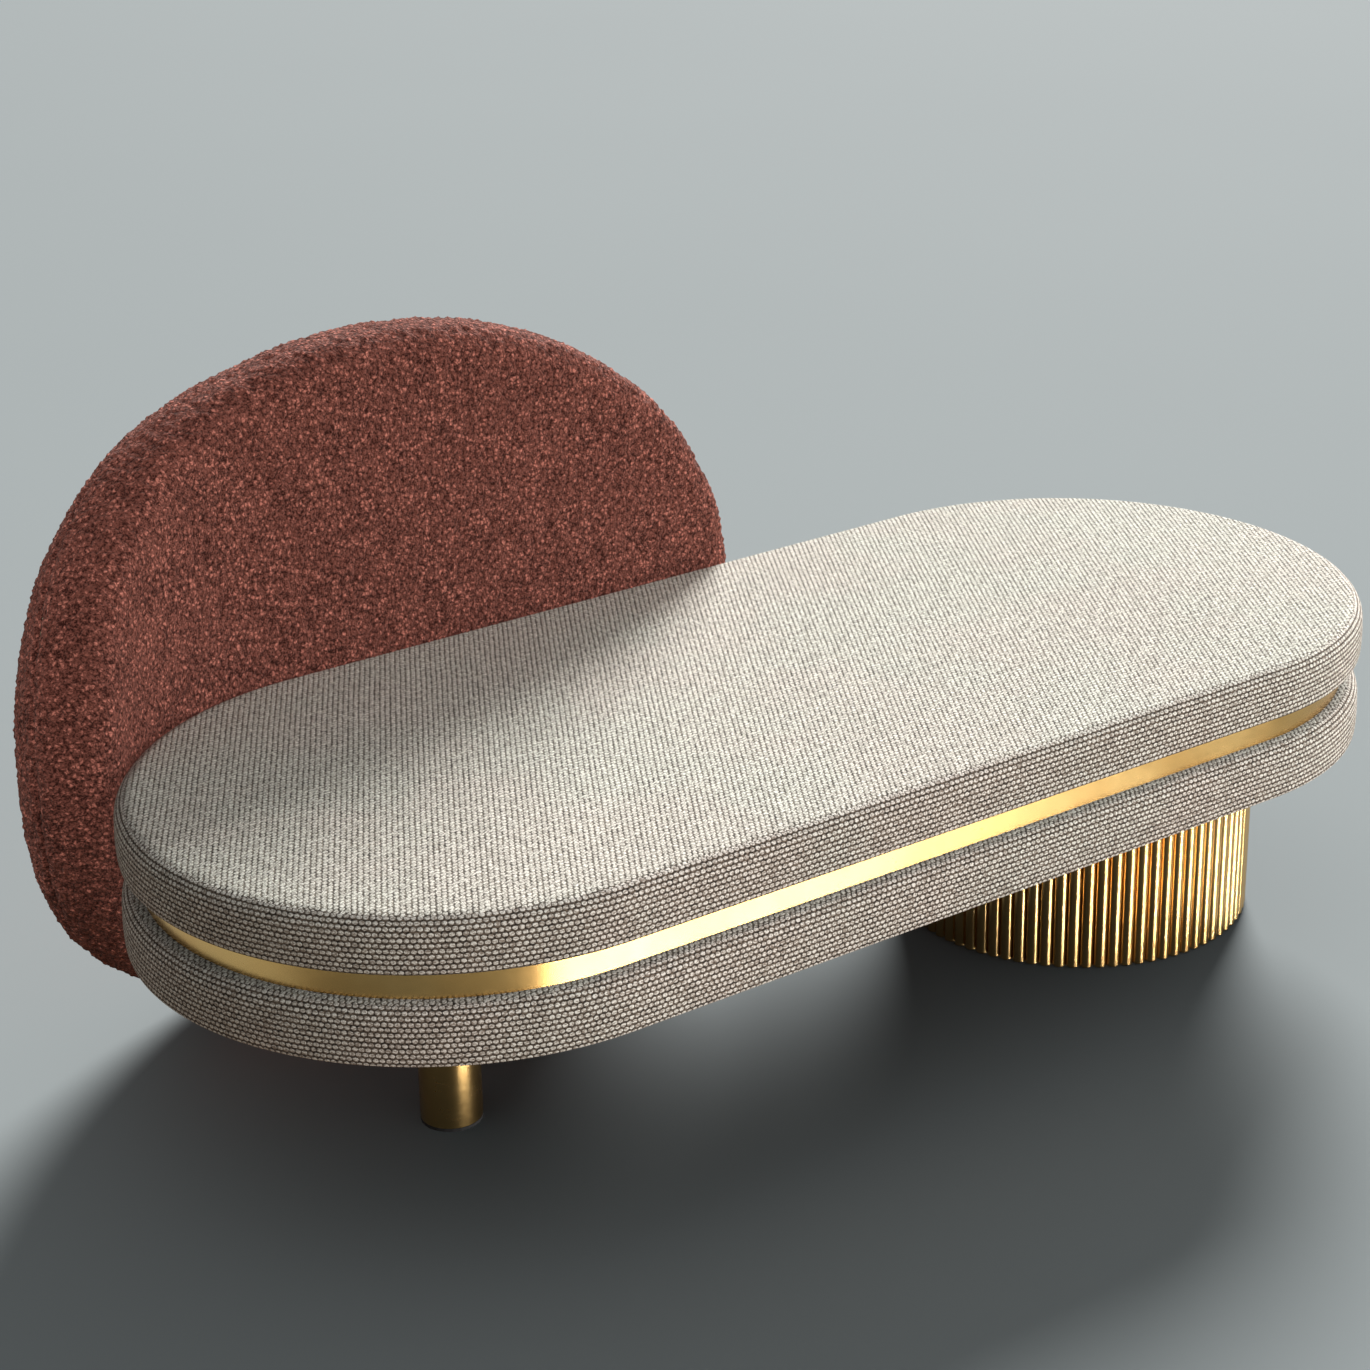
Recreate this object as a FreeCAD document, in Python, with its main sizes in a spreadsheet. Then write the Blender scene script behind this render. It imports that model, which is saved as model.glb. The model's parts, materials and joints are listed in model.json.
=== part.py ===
import FreeCAD, Part, Sketcher
import math
import os

# Chaise longue: two stadium-shaped upholstered pads on a brass tube leg and a fluted brass drum, with a
# brass band set back between the pads and one thick curved backrest behind the rear edge and the left end.
#
# Frame: millimetres, +Z up. The origin is on the floor, under the middle of the pads' length and of the whole
# depth, backrest included. +X runs along the length towards the drum, and +Y points to the backrest.

Vector = FreeCAD.Vector
Rotation = FreeCAD.Rotation
Placement = FreeCAD.Placement

doc = FreeCAD.newDocument("chaise_longue")
sheet = doc.addObject("Spreadsheet::Sheet", "sizes")

# The driving dimensions, each with its name in the sheet
SIZES = {
    # Pads and levels
    "length": 1746,  # length of both pads
    "width": 760,  # width of both pads
    "underside": 276,  # floor to the underside of the base pad
    "base_thick": 71,  # base pad, bottom to top
    "band_high": 39,  # gap between the pads
    "seat_thick": 67,  # seat pad, bottom to the top edge
    "edge_round": 22,  # radius of the rolled top edge of a pad
    "side_draw": 2.5,  # how far a pad's seams are drawn in from its belly
    "crown": 7,  # rise of the seat's top from its edge to its middle
    "cover_thick": 2,  # thickness of the woven cover
    "ease": 0.3,  # clearance between one layer and the next
    # Boards and frame of the pads
    "frame_inset": 26,  # edge of the pad to the edge of its boards
    "hem_wide": 60,  # edge of the pad to the end of the cover turned under
    "deck_thick": 15,  # seat deck plywood
    "top_board_thick": 12,  # top board of the base
    "bottom_board_thick": 15,  # bottom board of the base
    "rim_thick": 12,  # bent plywood rim of the base
    "rail_wide": 45,  # timber rails in the base
    "rail_apart": 400,  # distance between the two long rails, centre to centre
    "rail_past": 222,  # how far a long rail runs past the start of the round end
    "cross_rail_near": 250,  # middle of the base to the inner cross rails
    "cross_rail_end": 183,  # end of the base to the outer cross rails
    "cloth_thick": 1.5,  # lining and dust cover cloth
    # Band between the pads
    "band_inset": 24,  # edge of the pad to the face of the brass band
    "band_thick": 1.2,  # brass strip
    "core_wide": 90,  # width of the plywood ring behind the strip
    "bar_wide": 60,  # width of a cross bar in the band core
    "bar_end": 453,  # end of the pads to the outer cross bars
    # Bolts and tee nuts
    "bolt_radius": 4,  # shank of the machine bolts
    "bolt_hole_radius": 4.5,  # clearance hole for a bolt
    "nut_hole_radius": 5.5,  # hole for the barrel of a tee nut
    "nut_barrel_radius": 5.4,  # outside of a tee nut's barrel
    "nut_bore_radius": 4.2,  # bore of a tee nut
    "nut_flange_radius": 11,  # flange of a tee nut
    "nut_flange_thick": 1.5,  # thickness of a tee nut's flange
    "head_radius": 7.5,  # hexagon head, across its corners, halved
    "head_thick": 5.3,  # height of a bolt head
    "seat_bolt_apart": 240,  # seat bolts, side to side
    # Leg
    "leg_end": 367,  # end of the pads to the middle of the leg
    "leg_diameter": 76,  # outside of the leg tube
    "leg_wall": 2,  # wall of the leg tube
    "leg_plate_wide": 140,  # square steel plate on top of the leg, side to side
    "leg_plate_thick": 6,  # thickness of that plate
    "leg_bolt_circle": 150,  # circle of the leg's bolts
    "foot_thick": 4,  # nylon foot below the tube
    "foot_spigot": 16,  # how far the foot reaches up the tube
    # Drum
    "drum_end": 368,  # end of the pads to the middle of the drum
    "rib_count": 82,  # half-round ribs round the drum
    "rib_circle_radius": 231.85,  # middle of the drum to the ribs' centres
    "rib_radius": 8.95,  # radius of a rib
    "skin_wall": 3,  # wall of the drum skin behind the ribs
    "skin_lift": 1.5,  # floor to the lower end of the ribs
    "core_wall": 6,  # wall of the plywood core behind the skin
    "drum_board_thick": 18,  # boards in the drum's ends
    "drum_bolt_circle": 360,  # circle of the drum's bolts
    "glide_thick": 3,  # felt glide
    "glide_radius": 16,  # radius of a glide
    "glide_circle": 390,  # circle of the glides
    # Backrest: an ellipse on its inner face, which is flat along the rear edge and bent round the left end
    "back_gap": 1,  # rear edge of the pads to the backrest's inner face
    "back_thick": 133.5,  # inner face to rear face
    "back_centre": 173,  # start of the bend to the middle of the ellipse, along the inner face
    "back_middle_high": 414,  # floor to the middle of the ellipse
    "back_half_long": 536,  # half of the ellipse's length, along the inner face
    "back_half_high": 443,  # half of the ellipse's height
    "back_front_round": 34,  # rounding from the inner face to the rim
    "back_rear_round": 71,  # rounding from the rim to the rear face
    "back_cover_thick": 2.5,  # boucle cover
    "back_seam": 92,  # inner face to the seam between the front and rear covers
    "back_lift": 8,  # floor to the underside of the backrest
    "shell_thick": 15,  # bent plywood shell
    "shell_inset": 30,  # edge of the backrest to the edge of its shell
    "shell_depth": 78,  # inner face of the backrest to the shell
    "plinth_long": 300,  # plinth under the backrest
    "plinth_wide": 60,  # plinth, front to rear
    "block_wide": 70,  # hardwood block in the front foam
    "block_low": 196,  # floor to the bottom of a block
    "block_first": 60,  # start of the bend to the first block, along the inner face
    "block_apart": 230,  # first block to the second
    # Brackets and ties between the pads and the backrest
    "bracket_wide": 60,  # steel angle below the base
    "bracket_thick": 5,  # thickness of that angle
    "bracket_deep": 90,  # reach of the angle under the base
    "bracket_drop": 72,  # reach of the angle down the backrest
    "tie_wide": 60,  # steel angle at the brass band
    "tie_thick": 4,  # thickness of that angle
    "tie_deep": 76,  # reach of the tie over the band core
    "screw_radius": 2.4,  # shank of the wood screws
    "bracket_bolt_low": 54,  # underside of the base to the lower bolt
    "bracket_bolt_high": 26,  # underside of the base to the upper bolt
    "back_bolt_long": 48,  # shank of a bolt into a block
    "bracket_screw_reach": 72,  # rear edge of the pads to the bracket's screws
    "bracket_screw_apart": 30,  # one bracket screw to the other
    "bracket_screw_long": 19,  # shank of a screw in the bottom board
    "tie_screw_reach": 54,  # rear edge of the pads to the tie's screws
    "tie_screw_apart": 30,  # one tie screw to the other
    "tie_screw_long": 24,  # shank of a screw in the band core
    "screw_head_radius": 4.6,  # head of a wood screw
    "screw_head_thick": 2.4,  # height of that head
}

for row, (alias, value) in enumerate(SIZES.items(), start=1):
    sheet.set(f"A{row}", alias.replace("_", " "))
    sheet.set(f"B{row}", str(value))
    sheet.setAlias(f"B{row}", alias)

doc.recompute()

# Levels, as expressions on the sheet
BASE_LOW = "sizes.underside"
BASE_TOP = "(sizes.underside + sizes.base_thick)"
SEAT_LOW = "(sizes.underside + sizes.base_thick + sizes.band_high)"
SEAT_TOP = "(sizes.underside + sizes.base_thick + sizes.band_high + sizes.seat_thick)"
BOTTOM_BOARD_LOW = "(sizes.underside + sizes.cover_thick)"
RAIL_LOW = "(sizes.underside + sizes.cover_thick + sizes.bottom_board_thick)"
TOP_BOARD_LOW = f"({BASE_TOP} - sizes.cover_thick - sizes.ease - sizes.top_board_thick)"
DECK_LOW = "(sizes.underside + sizes.base_thick + sizes.band_high + sizes.cover_thick)"
HALF_STRAIGHT = "((sizes.length - sizes.width) / 2)"
CORE_INSET = "(sizes.band_inset + sizes.band_thick + sizes.ease)"
LEG_REACH = "(sizes.length / 2 - sizes.leg_end)"
DRUM_REACH = "(sizes.length / 2 - sizes.drum_end)"
BAR_APART = "(sizes.length / 2 - sizes.bar_end)"
CROSS_RAIL_FAR = "(sizes.length / 2 - sizes.cross_rail_end)"
RAIL_LONG = f"2 * ({HALF_STRAIGHT} + sizes.rail_past)"

SMALL_SIDES = 8
HEAD_SIDES = 6
FOOT_SIDES = 24
nodes = {}


def number(expression):
    """The value that an expression on the sheet has now."""
    value = sheet.evalExpression(expression)
    return float(getattr(value, "Value", value))


def keep(thing, label):
    """Names a finished sub-part. It is drawn about the middle of the pads, and moved forward here."""
    thing.Label = label
    thing.setExpression("Placement.Base.y", "-(sizes.back_gap + sizes.back_thick) / 2")
    nodes[label] = thing
    return thing


def bind(thing, **expressions):
    """Ties properties to the sheet: x, y and z are its place, any other word is a property."""
    for word, expression in expressions.items():
        target = f"Placement.Base.{word}" if word in ("x", "y", "z") else word
        thing.setExpression(target, expression)


# Outlines


def stadium(sketch, inset):
    """The pads' plan outline moved inward by inset: two straight sides, two ends of two quarter arcs each."""
    centre = number(HALF_STRAIGHT)
    radius = number(f"sizes.width / 2 - ({inset})")
    right = Vector(centre, 0, 0)
    left = Vector(-centre, 0, 0)
    rise = Vector(0, radius, 0)
    quarter = math.pi / 2
    up = Vector(0, 0, 1)
    first = sketch.addGeometry(Part.LineSegment(left + rise, right + rise))
    sketch.addGeometry(Part.ArcOfCircle(Part.Circle(right, up, radius), 0, quarter))
    sketch.addGeometry(Part.ArcOfCircle(Part.Circle(right, up, radius), -quarter, 0))
    sketch.addGeometry(Part.LineSegment(right - rise, left - rise))
    sketch.addGeometry(Part.ArcOfCircle(Part.Circle(left, up, radius), 2 * quarter, 3 * quarter))
    sketch.addGeometry(Part.ArcOfCircle(Part.Circle(left, up, radius), quarter, 2 * quarter))
    top, upper_right, lower_right, bottom, lower_left, upper_left = range(first, first + 6)
    start, end, middle, x_axis = 1, 2, 3, -1
    links = (
        (top, end, upper_right, end),
        (upper_right, start, lower_right, end),
        (lower_right, start, bottom, start),
        (bottom, end, lower_left, end),
        (lower_left, start, upper_left, end),
        (upper_left, start, top, start),
        (upper_right, middle, lower_right, middle),
        (lower_left, middle, upper_left, middle),
    )
    for one, one_point, other, other_point in links:
        sketch.addConstraint(Sketcher.Constraint("Coincident", one, one_point, other, other_point))
    for arc in (upper_right, upper_left):
        sketch.addConstraint(Sketcher.Constraint("PointOnObject", arc, middle, x_axis))
    sketch.addConstraint(Sketcher.Constraint("PointOnObject", upper_right, start, x_axis))
    sketch.addConstraint(Sketcher.Constraint("PointOnObject", upper_left, end, x_axis))
    sketch.addConstraint(Sketcher.Constraint("Horizontal", top))
    for arc, point in ((upper_right, end), (lower_right, start), (lower_left, end), (upper_left, start)):
        sketch.addConstraint(Sketcher.Constraint("Vertical", arc, point, arc, middle))
    driven = (
        (Sketcher.Constraint("Radius", upper_right, radius), f"sizes.width / 2 - ({inset})"),
        (Sketcher.Constraint("DistanceX", -1, 1, upper_right, middle, centre), HALF_STRAIGHT),
        (Sketcher.Constraint("DistanceX", upper_left, middle, -1, 1, centre), HALF_STRAIGHT),
    )
    for constraint, expression in driven:
        index = sketch.addConstraint(constraint)
        sketch.setExpression(f"Constraints[{index}]", expression)


def circle(sketch, radius):
    """A round outline about the sketch's origin, with its radius tied to the sheet."""
    now = number(radius)
    index = sketch.addGeometry(Part.Circle(Vector(0, 0, 0), Vector(0, 0, 1), now))
    sketch.addConstraint(Sketcher.Constraint("Coincident", index, 3, -1, 1))
    place = sketch.addConstraint(Sketcher.Constraint("Radius", index, now))
    sketch.setExpression(f"Constraints[{place}]", radius)


# Bodies


def body_sketch(body, name):
    """A sketch on the body's own horizontal plane."""
    sketch = body.newObject("Sketcher::SketchObject", name)
    plane = [item for item in body.Origin.OriginFeatures if item.Role == "XY_Plane"][0]
    sketch.AttachmentSupport = (plane, [""])
    sketch.MapMode = "FlatFace"
    return sketch


def pad(body, sketch, thick):
    feature = body.newObject("PartDesign::Pad", f"{body.Name}_pad")
    feature.Profile = sketch
    feature.setExpression("Length", thick)
    sketch.Visibility = False
    return feature


def board(label, inset, low, thick, holes=(), hole_radius="sizes.bolt_hole_radius"):
    """A stadium-shaped board or cloth, with holes where bolts pass."""
    body = doc.addObject("PartDesign::Body", f"{label}_blank" if holes else label)
    outline = body_sketch(body, f"{label}_outline")
    stadium(outline, inset)
    pad(body, outline, thick)
    bind(body, z=low)
    if not holes:
        return body
    return drilled(label, body, holes, hole_radius, low, thick)


def ring(label, outer, inner, low, thick):
    """A closed strip between two stadium outlines."""
    body = doc.addObject("PartDesign::Body", label)
    outline = body_sketch(body, f"{label}_outline")
    stadium(outline, outer)
    stadium(outline, inner)
    pad(body, outline, thick)
    bind(body, z=low)
    return body


def group(label, members):
    """Identical pieces that share one node, each its own solid."""
    thing = doc.addObject("Part::Compound", label)
    thing.Links = members
    return thing


def box(name, x, y, z, wide, deep, high):
    """A block centred on x, with y and z at its low corner."""
    block = doc.addObject("Part::Box", name)
    bind(block, Length=wide, Width=deep, Height=high, x=f"{x} - ({wide}) / 2", y=y, z=z)
    return block


def rod(name, radius, height, x="0", y="0", z="0"):
    cylinder = doc.addObject("Part::Cylinder", name)
    bind(cylinder, Radius=radius, Height=height, x=x, y=y, z=z)
    return cylinder


def small_rod(name, radius, height, x="0", y="0", z="0"):
    """A fastener's shank or its hole, with eight sides to stay light."""
    prism = doc.addObject("Part::Prism", name)
    prism.Polygon = SMALL_SIDES
    bind(prism, Circumradius=radius, Height=height, x=x, y=y, z=z)
    return prism


def fuse(name, pieces):
    thing = doc.addObject("Part::MultiFuse", name)
    thing.Shapes = pieces
    return thing


def cut(name, base, tool):
    thing = doc.addObject("Part::Cut", name)
    thing.Base = base
    thing.Tool = tool
    return thing


def drilled(name, blank, places, radius, low, thick):
    """The blank with a hole right through at each place."""
    drills = []
    for index, (x, y) in enumerate(places):
        start = f"{low} - ({thick})"
        drills.append(small_rod(f"{name}_drill_{index}", radius, f"3 * ({thick})", x, y, start))
    return cut(name, blank, fuse(f"{name}_drills", drills))


BACKWARD = Rotation(Vector(1, 0, 0), -90)


def bolt(name, x, y, z, shank, turned=None):
    """A hexagon bolt. Its head's top face is at the point, and its shank runs up, or backward if turned."""
    head = doc.addObject("Part::Prism", f"{name}_head")
    head.Polygon = HEAD_SIDES
    bind(head, Circumradius="sizes.head_radius", Height="sizes.head_thick", z="-sizes.head_thick")
    stem = small_rod(f"{name}_stem", "sizes.bolt_radius", shank)
    thing = fuse(name, [head, stem])
    if turned:
        thing.Placement = Placement(Vector(), turned)
    bind(thing, x=x, y=y, z=z)
    return thing


def tee_nut(name, x, y, z, barrel):
    """A tee nut whose flange lies on the board's top face at z, with its barrel in the hole below."""
    flange = small_rod(f"{name}_flange", "sizes.nut_flange_radius", "sizes.nut_flange_thick")
    stem = small_rod(f"{name}_barrel", "sizes.nut_barrel_radius", barrel, z=f"-({barrel})")
    bore = small_rod(f"{name}_bore", "sizes.nut_bore_radius", f"4 * ({barrel})", z=f"-2 * ({barrel})")
    thing = cut(name, fuse(f"{name}_solid", [flange, stem]), bore)
    bind(thing, x=x, y=y, z=z)
    return thing


# Upholstered forms: each is a loft through stadium outlines. A section is an inset from the pads' outline
# and a height, both as expressions. lay is how deep the surface lies under the outside of the cover.

EDGE_STEPS = 3
LINING_EDGE_STEPS = 2
CROWN_SHARES = (0.35, 0.9)
LINING_CROWN_SHARES = (0.9,)


def belly(low, seam):
    """The boxing's outside: drawn in at both seams and furthest out at its middle."""
    middle = f"({low} + {seam}) / 2"
    return [("sizes.side_draw", low), ("0", middle), ("sizes.side_draw", seam)]


def straight_side(low, seam, lay):
    """A side lay deep under the seams, with no belly."""
    return [(f"sizes.side_draw + {lay}", f"{low} + {lay}"), (f"sizes.side_draw + {lay}", seam)]


def rolled_edge(top, lay, steps):
    """The quarter round from the seam up to the top edge."""
    sections = []
    for step in range(steps + 1):
        angle = math.pi / 2 * step / steps
        radius = f"(sizes.edge_round - ({lay}))"
        inset = f"sizes.side_draw + sizes.edge_round - {radius} * {round(math.cos(angle), 9)}"
        height = f"{top} - sizes.edge_round + {radius} * {round(math.sin(angle), 9)}"
        sections.append((inset, height))
    return sections


def crowned_top(top, lay, shares):
    """The slow rise from the top edge to the middle of the seat."""
    sections = []
    for share in shares:
        edge = "(sizes.side_draw + sizes.edge_round)"
        inset = f"{edge} + (sizes.width / 2 - {edge}) * {share}"
        height = f"{top} - ({lay}) + sizes.crown * {round(1 - (1 - share) ** 2, 9)}"
        sections.append((inset, height))
    return sections


def form(name, sections):
    """A closed solid through stadium outlines, from the lowest section to the highest."""
    outlines = []
    for index, (inset, height) in enumerate(sections):
        sketch = doc.addObject("Sketcher::SketchObject", f"{name}_section_{index}")
        stadium(sketch, inset)
        bind(sketch, z=height)
        outlines.append(sketch)
    loft = doc.addObject("Part::Loft", name)
    loft.Sections = outlines
    loft.Solid = True
    loft.Ruled = True
    return loft


def side_cover(label, low, top):
    """Boxing from the seam down, turned under by the hem."""
    seam = f"({top} - sizes.edge_round)"
    thick = "sizes.cover_thick"
    outside = form(f"{label}_outside", belly(low, seam))
    inside = form(f"{label}_inside", straight_side(low, seam, thick))
    mouth = board(f"{label}_mouth", "sizes.hem_wide", f"{low} - {thick} / 2", f"2 * {thick}")
    return keep(cut(label, outside, fuse(f"{label}_room", [inside, mouth])), label)


def top_cover(label, top, crowned, holes=()):
    """The panel over a pad's top and rolled edge, down to the seam."""
    thick = "sizes.cover_thick"
    outside_sections = rolled_edge(top, "0", EDGE_STEPS)
    inside_sections = rolled_edge(top, thick, LINING_EDGE_STEPS)
    if crowned:
        outside_sections += crowned_top(top, "0", CROWN_SHARES)
        inside_sections += crowned_top(top, thick, LINING_CROWN_SHARES)
    outside = form(f"{label}_outside", outside_sections)
    inside = form(f"{label}_inside", inside_sections)
    if not holes:
        return keep(cut(label, outside, inside), label)
    shell = cut(f"{label}_shell", outside, inside)
    low = f"{top} - {thick}"
    return keep(drilled(label, shell, holes, "sizes.bolt_hole_radius", low, thick), label)


def foam(name, low, top, crowned, pocket_inset, pocket_low, pocket_high):
    """Foam that fills a pad's cover, less the room for the boards inside it."""
    lay = "(sizes.cover_thick + sizes.ease)"
    seam = f"({top} - sizes.edge_round)"
    sections = straight_side(low, seam, lay) + rolled_edge(top, lay, LINING_EDGE_STEPS)[1:]
    if crowned:
        sections += crowned_top(top, lay, LINING_CROWN_SHARES)
    block = form(f"{name}_block", sections)
    room = board(f"{name}_room", pocket_inset, pocket_low, f"({pocket_high} - ({pocket_low}))")
    return cut(name, block, room)


# Bolt places

SEAT_BOLTS = []
for side in (-1, 1):
    for step in (-1, 0, 1):
        SEAT_BOLTS.append((f"{BAR_APART} * {step}", f"sizes.seat_bolt_apart / 2 * {side}"))


def round_places(reach, circle_diameter, count, first_angle):
    """Places on a bolt circle, each as a pair of expressions."""
    places = []
    for index in range(count):
        angle = math.radians(first_angle + 360 * index / count)
        x = f"{reach} + {circle_diameter} / 2 * {round(math.cos(angle), 9)}"
        y = f"{circle_diameter} / 2 * {round(math.sin(angle), 9)}"
        places.append((x, y))
    return places


BLOCKS = ("(sizes.block_first)", "(sizes.block_first + sizes.block_apart)")
REAR_EDGE = "(sizes.width / 2)"
PILOT_RADIUS = "(sizes.screw_radius + sizes.ease)"


def block_x(place):
    return f"({place} - {HALF_STRAIGHT})"


def screw_places(reach, apart):
    """Two screws in front of each block, reach forward of the pads' rear edge."""
    places = []
    for place in BLOCKS:
        for side in (-1, 1):
            places.append((f"{block_x(place)} + {apart} / 2 * {side}", f"{REAR_EDGE} - {reach}"))
    return places


BRACKET_SCREWS = screw_places("sizes.bracket_screw_reach", "sizes.bracket_screw_apart")
TIE_SCREWS = screw_places("sizes.tie_screw_reach", "sizes.tie_screw_apart")
LEG_BOLTS = round_places(f"-{LEG_REACH}", "sizes.leg_bolt_circle", 4, 45)
DRUM_BOLTS = round_places(DRUM_REACH, "sizes.drum_bolt_circle", 4, 45)


# Seat pad


def make_seat_pad():
    side_cover("seat_side_cover", SEAT_LOW, SEAT_TOP)
    top_cover("seat_top_cover", SEAT_TOP, crowned=True)
    deck_thick = "sizes.deck_thick"
    deck = board("seat_deck", "sizes.frame_inset", DECK_LOW, deck_thick, SEAT_BOLTS, "sizes.nut_hole_radius")
    keep(deck, "seat_deck")
    lining_low = f"{DECK_LOW} - sizes.cloth_thick"
    lining_inset = "(sizes.hem_wide + sizes.ease)"
    keep(board("seat_lining", lining_inset, lining_low, "sizes.cloth_thick", SEAT_BOLTS), "seat_lining")

    # the foam has room for the deck and a small hollow over each nut's flange
    deck_top = f"({DECK_LOW} + sizes.deck_thick)"
    block = foam("seat_foam_block", SEAT_LOW, SEAT_TOP, True, "(sizes.frame_inset - sizes.ease)", SEAT_LOW,
                 f"({deck_top} + sizes.ease)")
    hollows = []
    for index, (x, y) in enumerate(SEAT_BOLTS):
        radius = "sizes.nut_flange_radius + sizes.ease"
        height = "sizes.nut_flange_thick + 2 * sizes.ease"
        hollows.append(small_rod(f"foam_hollow_{index}", radius, height, x, y, deck_top))
    keep(cut("seat_foam", block, fuse("foam_hollows", hollows)), "seat_foam")


def make_seat_bolts():
    """Bolts from inside the base, up through the band's cross bars into tee nuts on the seat deck."""
    bolts = []
    nuts = []
    deck_top = f"{DECK_LOW} + sizes.deck_thick"
    shank = f"({deck_top} - ({TOP_BOARD_LOW}))"
    for index, (x, y) in enumerate(SEAT_BOLTS):
        bolts.append(bolt(f"seat_bolt_{index}", x, y, TOP_BOARD_LOW, shank))
        nuts.append(tee_nut(f"seat_nut_{index}", x, y, deck_top, "(sizes.deck_thick - 2 * sizes.ease)"))
    keep(group("seat_bolts", bolts), "seat_bolts")
    keep(group("seat_tee_nuts", nuts), "seat_tee_nuts")


# Band between the pads


def make_band():
    core_inside = f"({CORE_INSET} + sizes.core_wide)"
    core = ring("band_core_ring", CORE_INSET, core_inside, BASE_TOP, "sizes.band_high")
    # the ties lie in shallow rebates across the top of the ring, screwed down into it
    rebates = [tie_limb(f"core_rebate_{index}", place, "sizes.ease") for index, place in enumerate(BLOCKS)]
    for index, (x, y) in enumerate(TIE_SCREWS):
        rebates.append(small_rod(f"core_pilot_{index}", PILOT_RADIUS, "sizes.band_high", x, y, BASE_TOP))
    keep(cut("band_core", core, fuse("core_rebates", rebates)), "band_core")

    strip_low = f"{BASE_TOP} + sizes.ease"
    strip_high = "(sizes.band_high - 2 * sizes.ease)"
    strip_inside = "(sizes.band_inset + sizes.band_thick)"
    strip = ring("brass_strip", "sizes.band_inset", strip_inside, strip_low, strip_high)
    notches = [tie_limb(f"band_notch_{index}", place, "sizes.ease") for index, place in enumerate(BLOCKS)]
    keep(cut("brass_band", strip, fuse("band_notches", notches)), "brass_band")

    bars = []
    length = f"(sizes.width - 2 * {core_inside} - 2 * sizes.ease)"
    for step in (-1, 0, 1):
        name = f"cross_bar_{step + 1}"
        x = f"{BAR_APART} * {step}"
        bar = box(f"{name}_blank", x, f"-{length} / 2", BASE_TOP, "sizes.bar_wide", length, "sizes.band_high")
        places = [place for place in SEAT_BOLTS if place[0] == x]
        bars.append(drilled(name, bar, places, "sizes.bolt_hole_radius", BASE_TOP, "sizes.band_high"))
    keep(group("band_cross_bars", bars), "band_cross_bars")


# Base pad


def make_base_pad():
    side_cover("base_side_cover", BASE_LOW, BASE_TOP)
    top_cover("base_top_cover", BASE_TOP, crowned=False, holes=SEAT_BOLTS)
    board_room = "(sizes.frame_inset - sizes.ease)"
    keep(foam("base_foam", BASE_LOW, BASE_TOP, False, board_room, BASE_LOW, BASE_TOP), "base_foam")
    inset = "sizes.frame_inset"
    keep(board("base_top_board", inset, TOP_BOARD_LOW, "sizes.top_board_thick", SEAT_BOLTS), "base_top_board")
    rail_high = f"({TOP_BOARD_LOW} - {RAIL_LOW})"
    keep(ring("base_rim", inset, f"({inset} + sizes.rim_thick)", RAIL_LOW, rail_high), "base_rim")

    # the bottom board takes tee nuts in its larger holes and wood screws in its pilot holes
    thick = "sizes.bottom_board_thick"
    blank = board("bottom_board_blank", inset, BOTTOM_BOARD_LOW, thick, LEG_BOLTS + DRUM_BOLTS,
                  "sizes.nut_hole_radius")
    bottom = drilled("base_bottom_board", blank, BRACKET_SCREWS, PILOT_RADIUS, BOTTOM_BOARD_LOW, thick)
    keep(bottom, "base_bottom_board")
    dust_low = f"{BOTTOM_BOARD_LOW} - sizes.cloth_thick"
    dust_holes = LEG_BOLTS + DRUM_BOLTS + BRACKET_SCREWS
    dust = board("dust_cover", "(sizes.hem_wide + sizes.ease)", dust_low, "sizes.cloth_thick", dust_holes)
    keep(dust, "dust_cover")

    long_rails = []
    for side in (-1, 1):
        y = f"sizes.rail_apart / 2 * {side} - sizes.rail_wide / 2"
        long_rails.append(box(f"long_rail_{side + 1}", "0", y, RAIL_LOW, RAIL_LONG, "sizes.rail_wide",
                              rail_high))
    keep(group("base_long_rails", long_rails), "base_long_rails")
    cross_rails = []
    span = "(sizes.rail_apart - sizes.rail_wide)"
    for side in (-1, 1):
        for reach in ("sizes.cross_rail_near", CROSS_RAIL_FAR):
            name = f"cross_rail_{len(cross_rails)}"
            x = f"{reach} * {side}"
            cross_rails.append(box(name, x, f"-{span} / 2", RAIL_LOW, "sizes.rail_wide", span, rail_high))
    keep(group("base_cross_rails", cross_rails), "base_cross_rails")


# Leg


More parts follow.
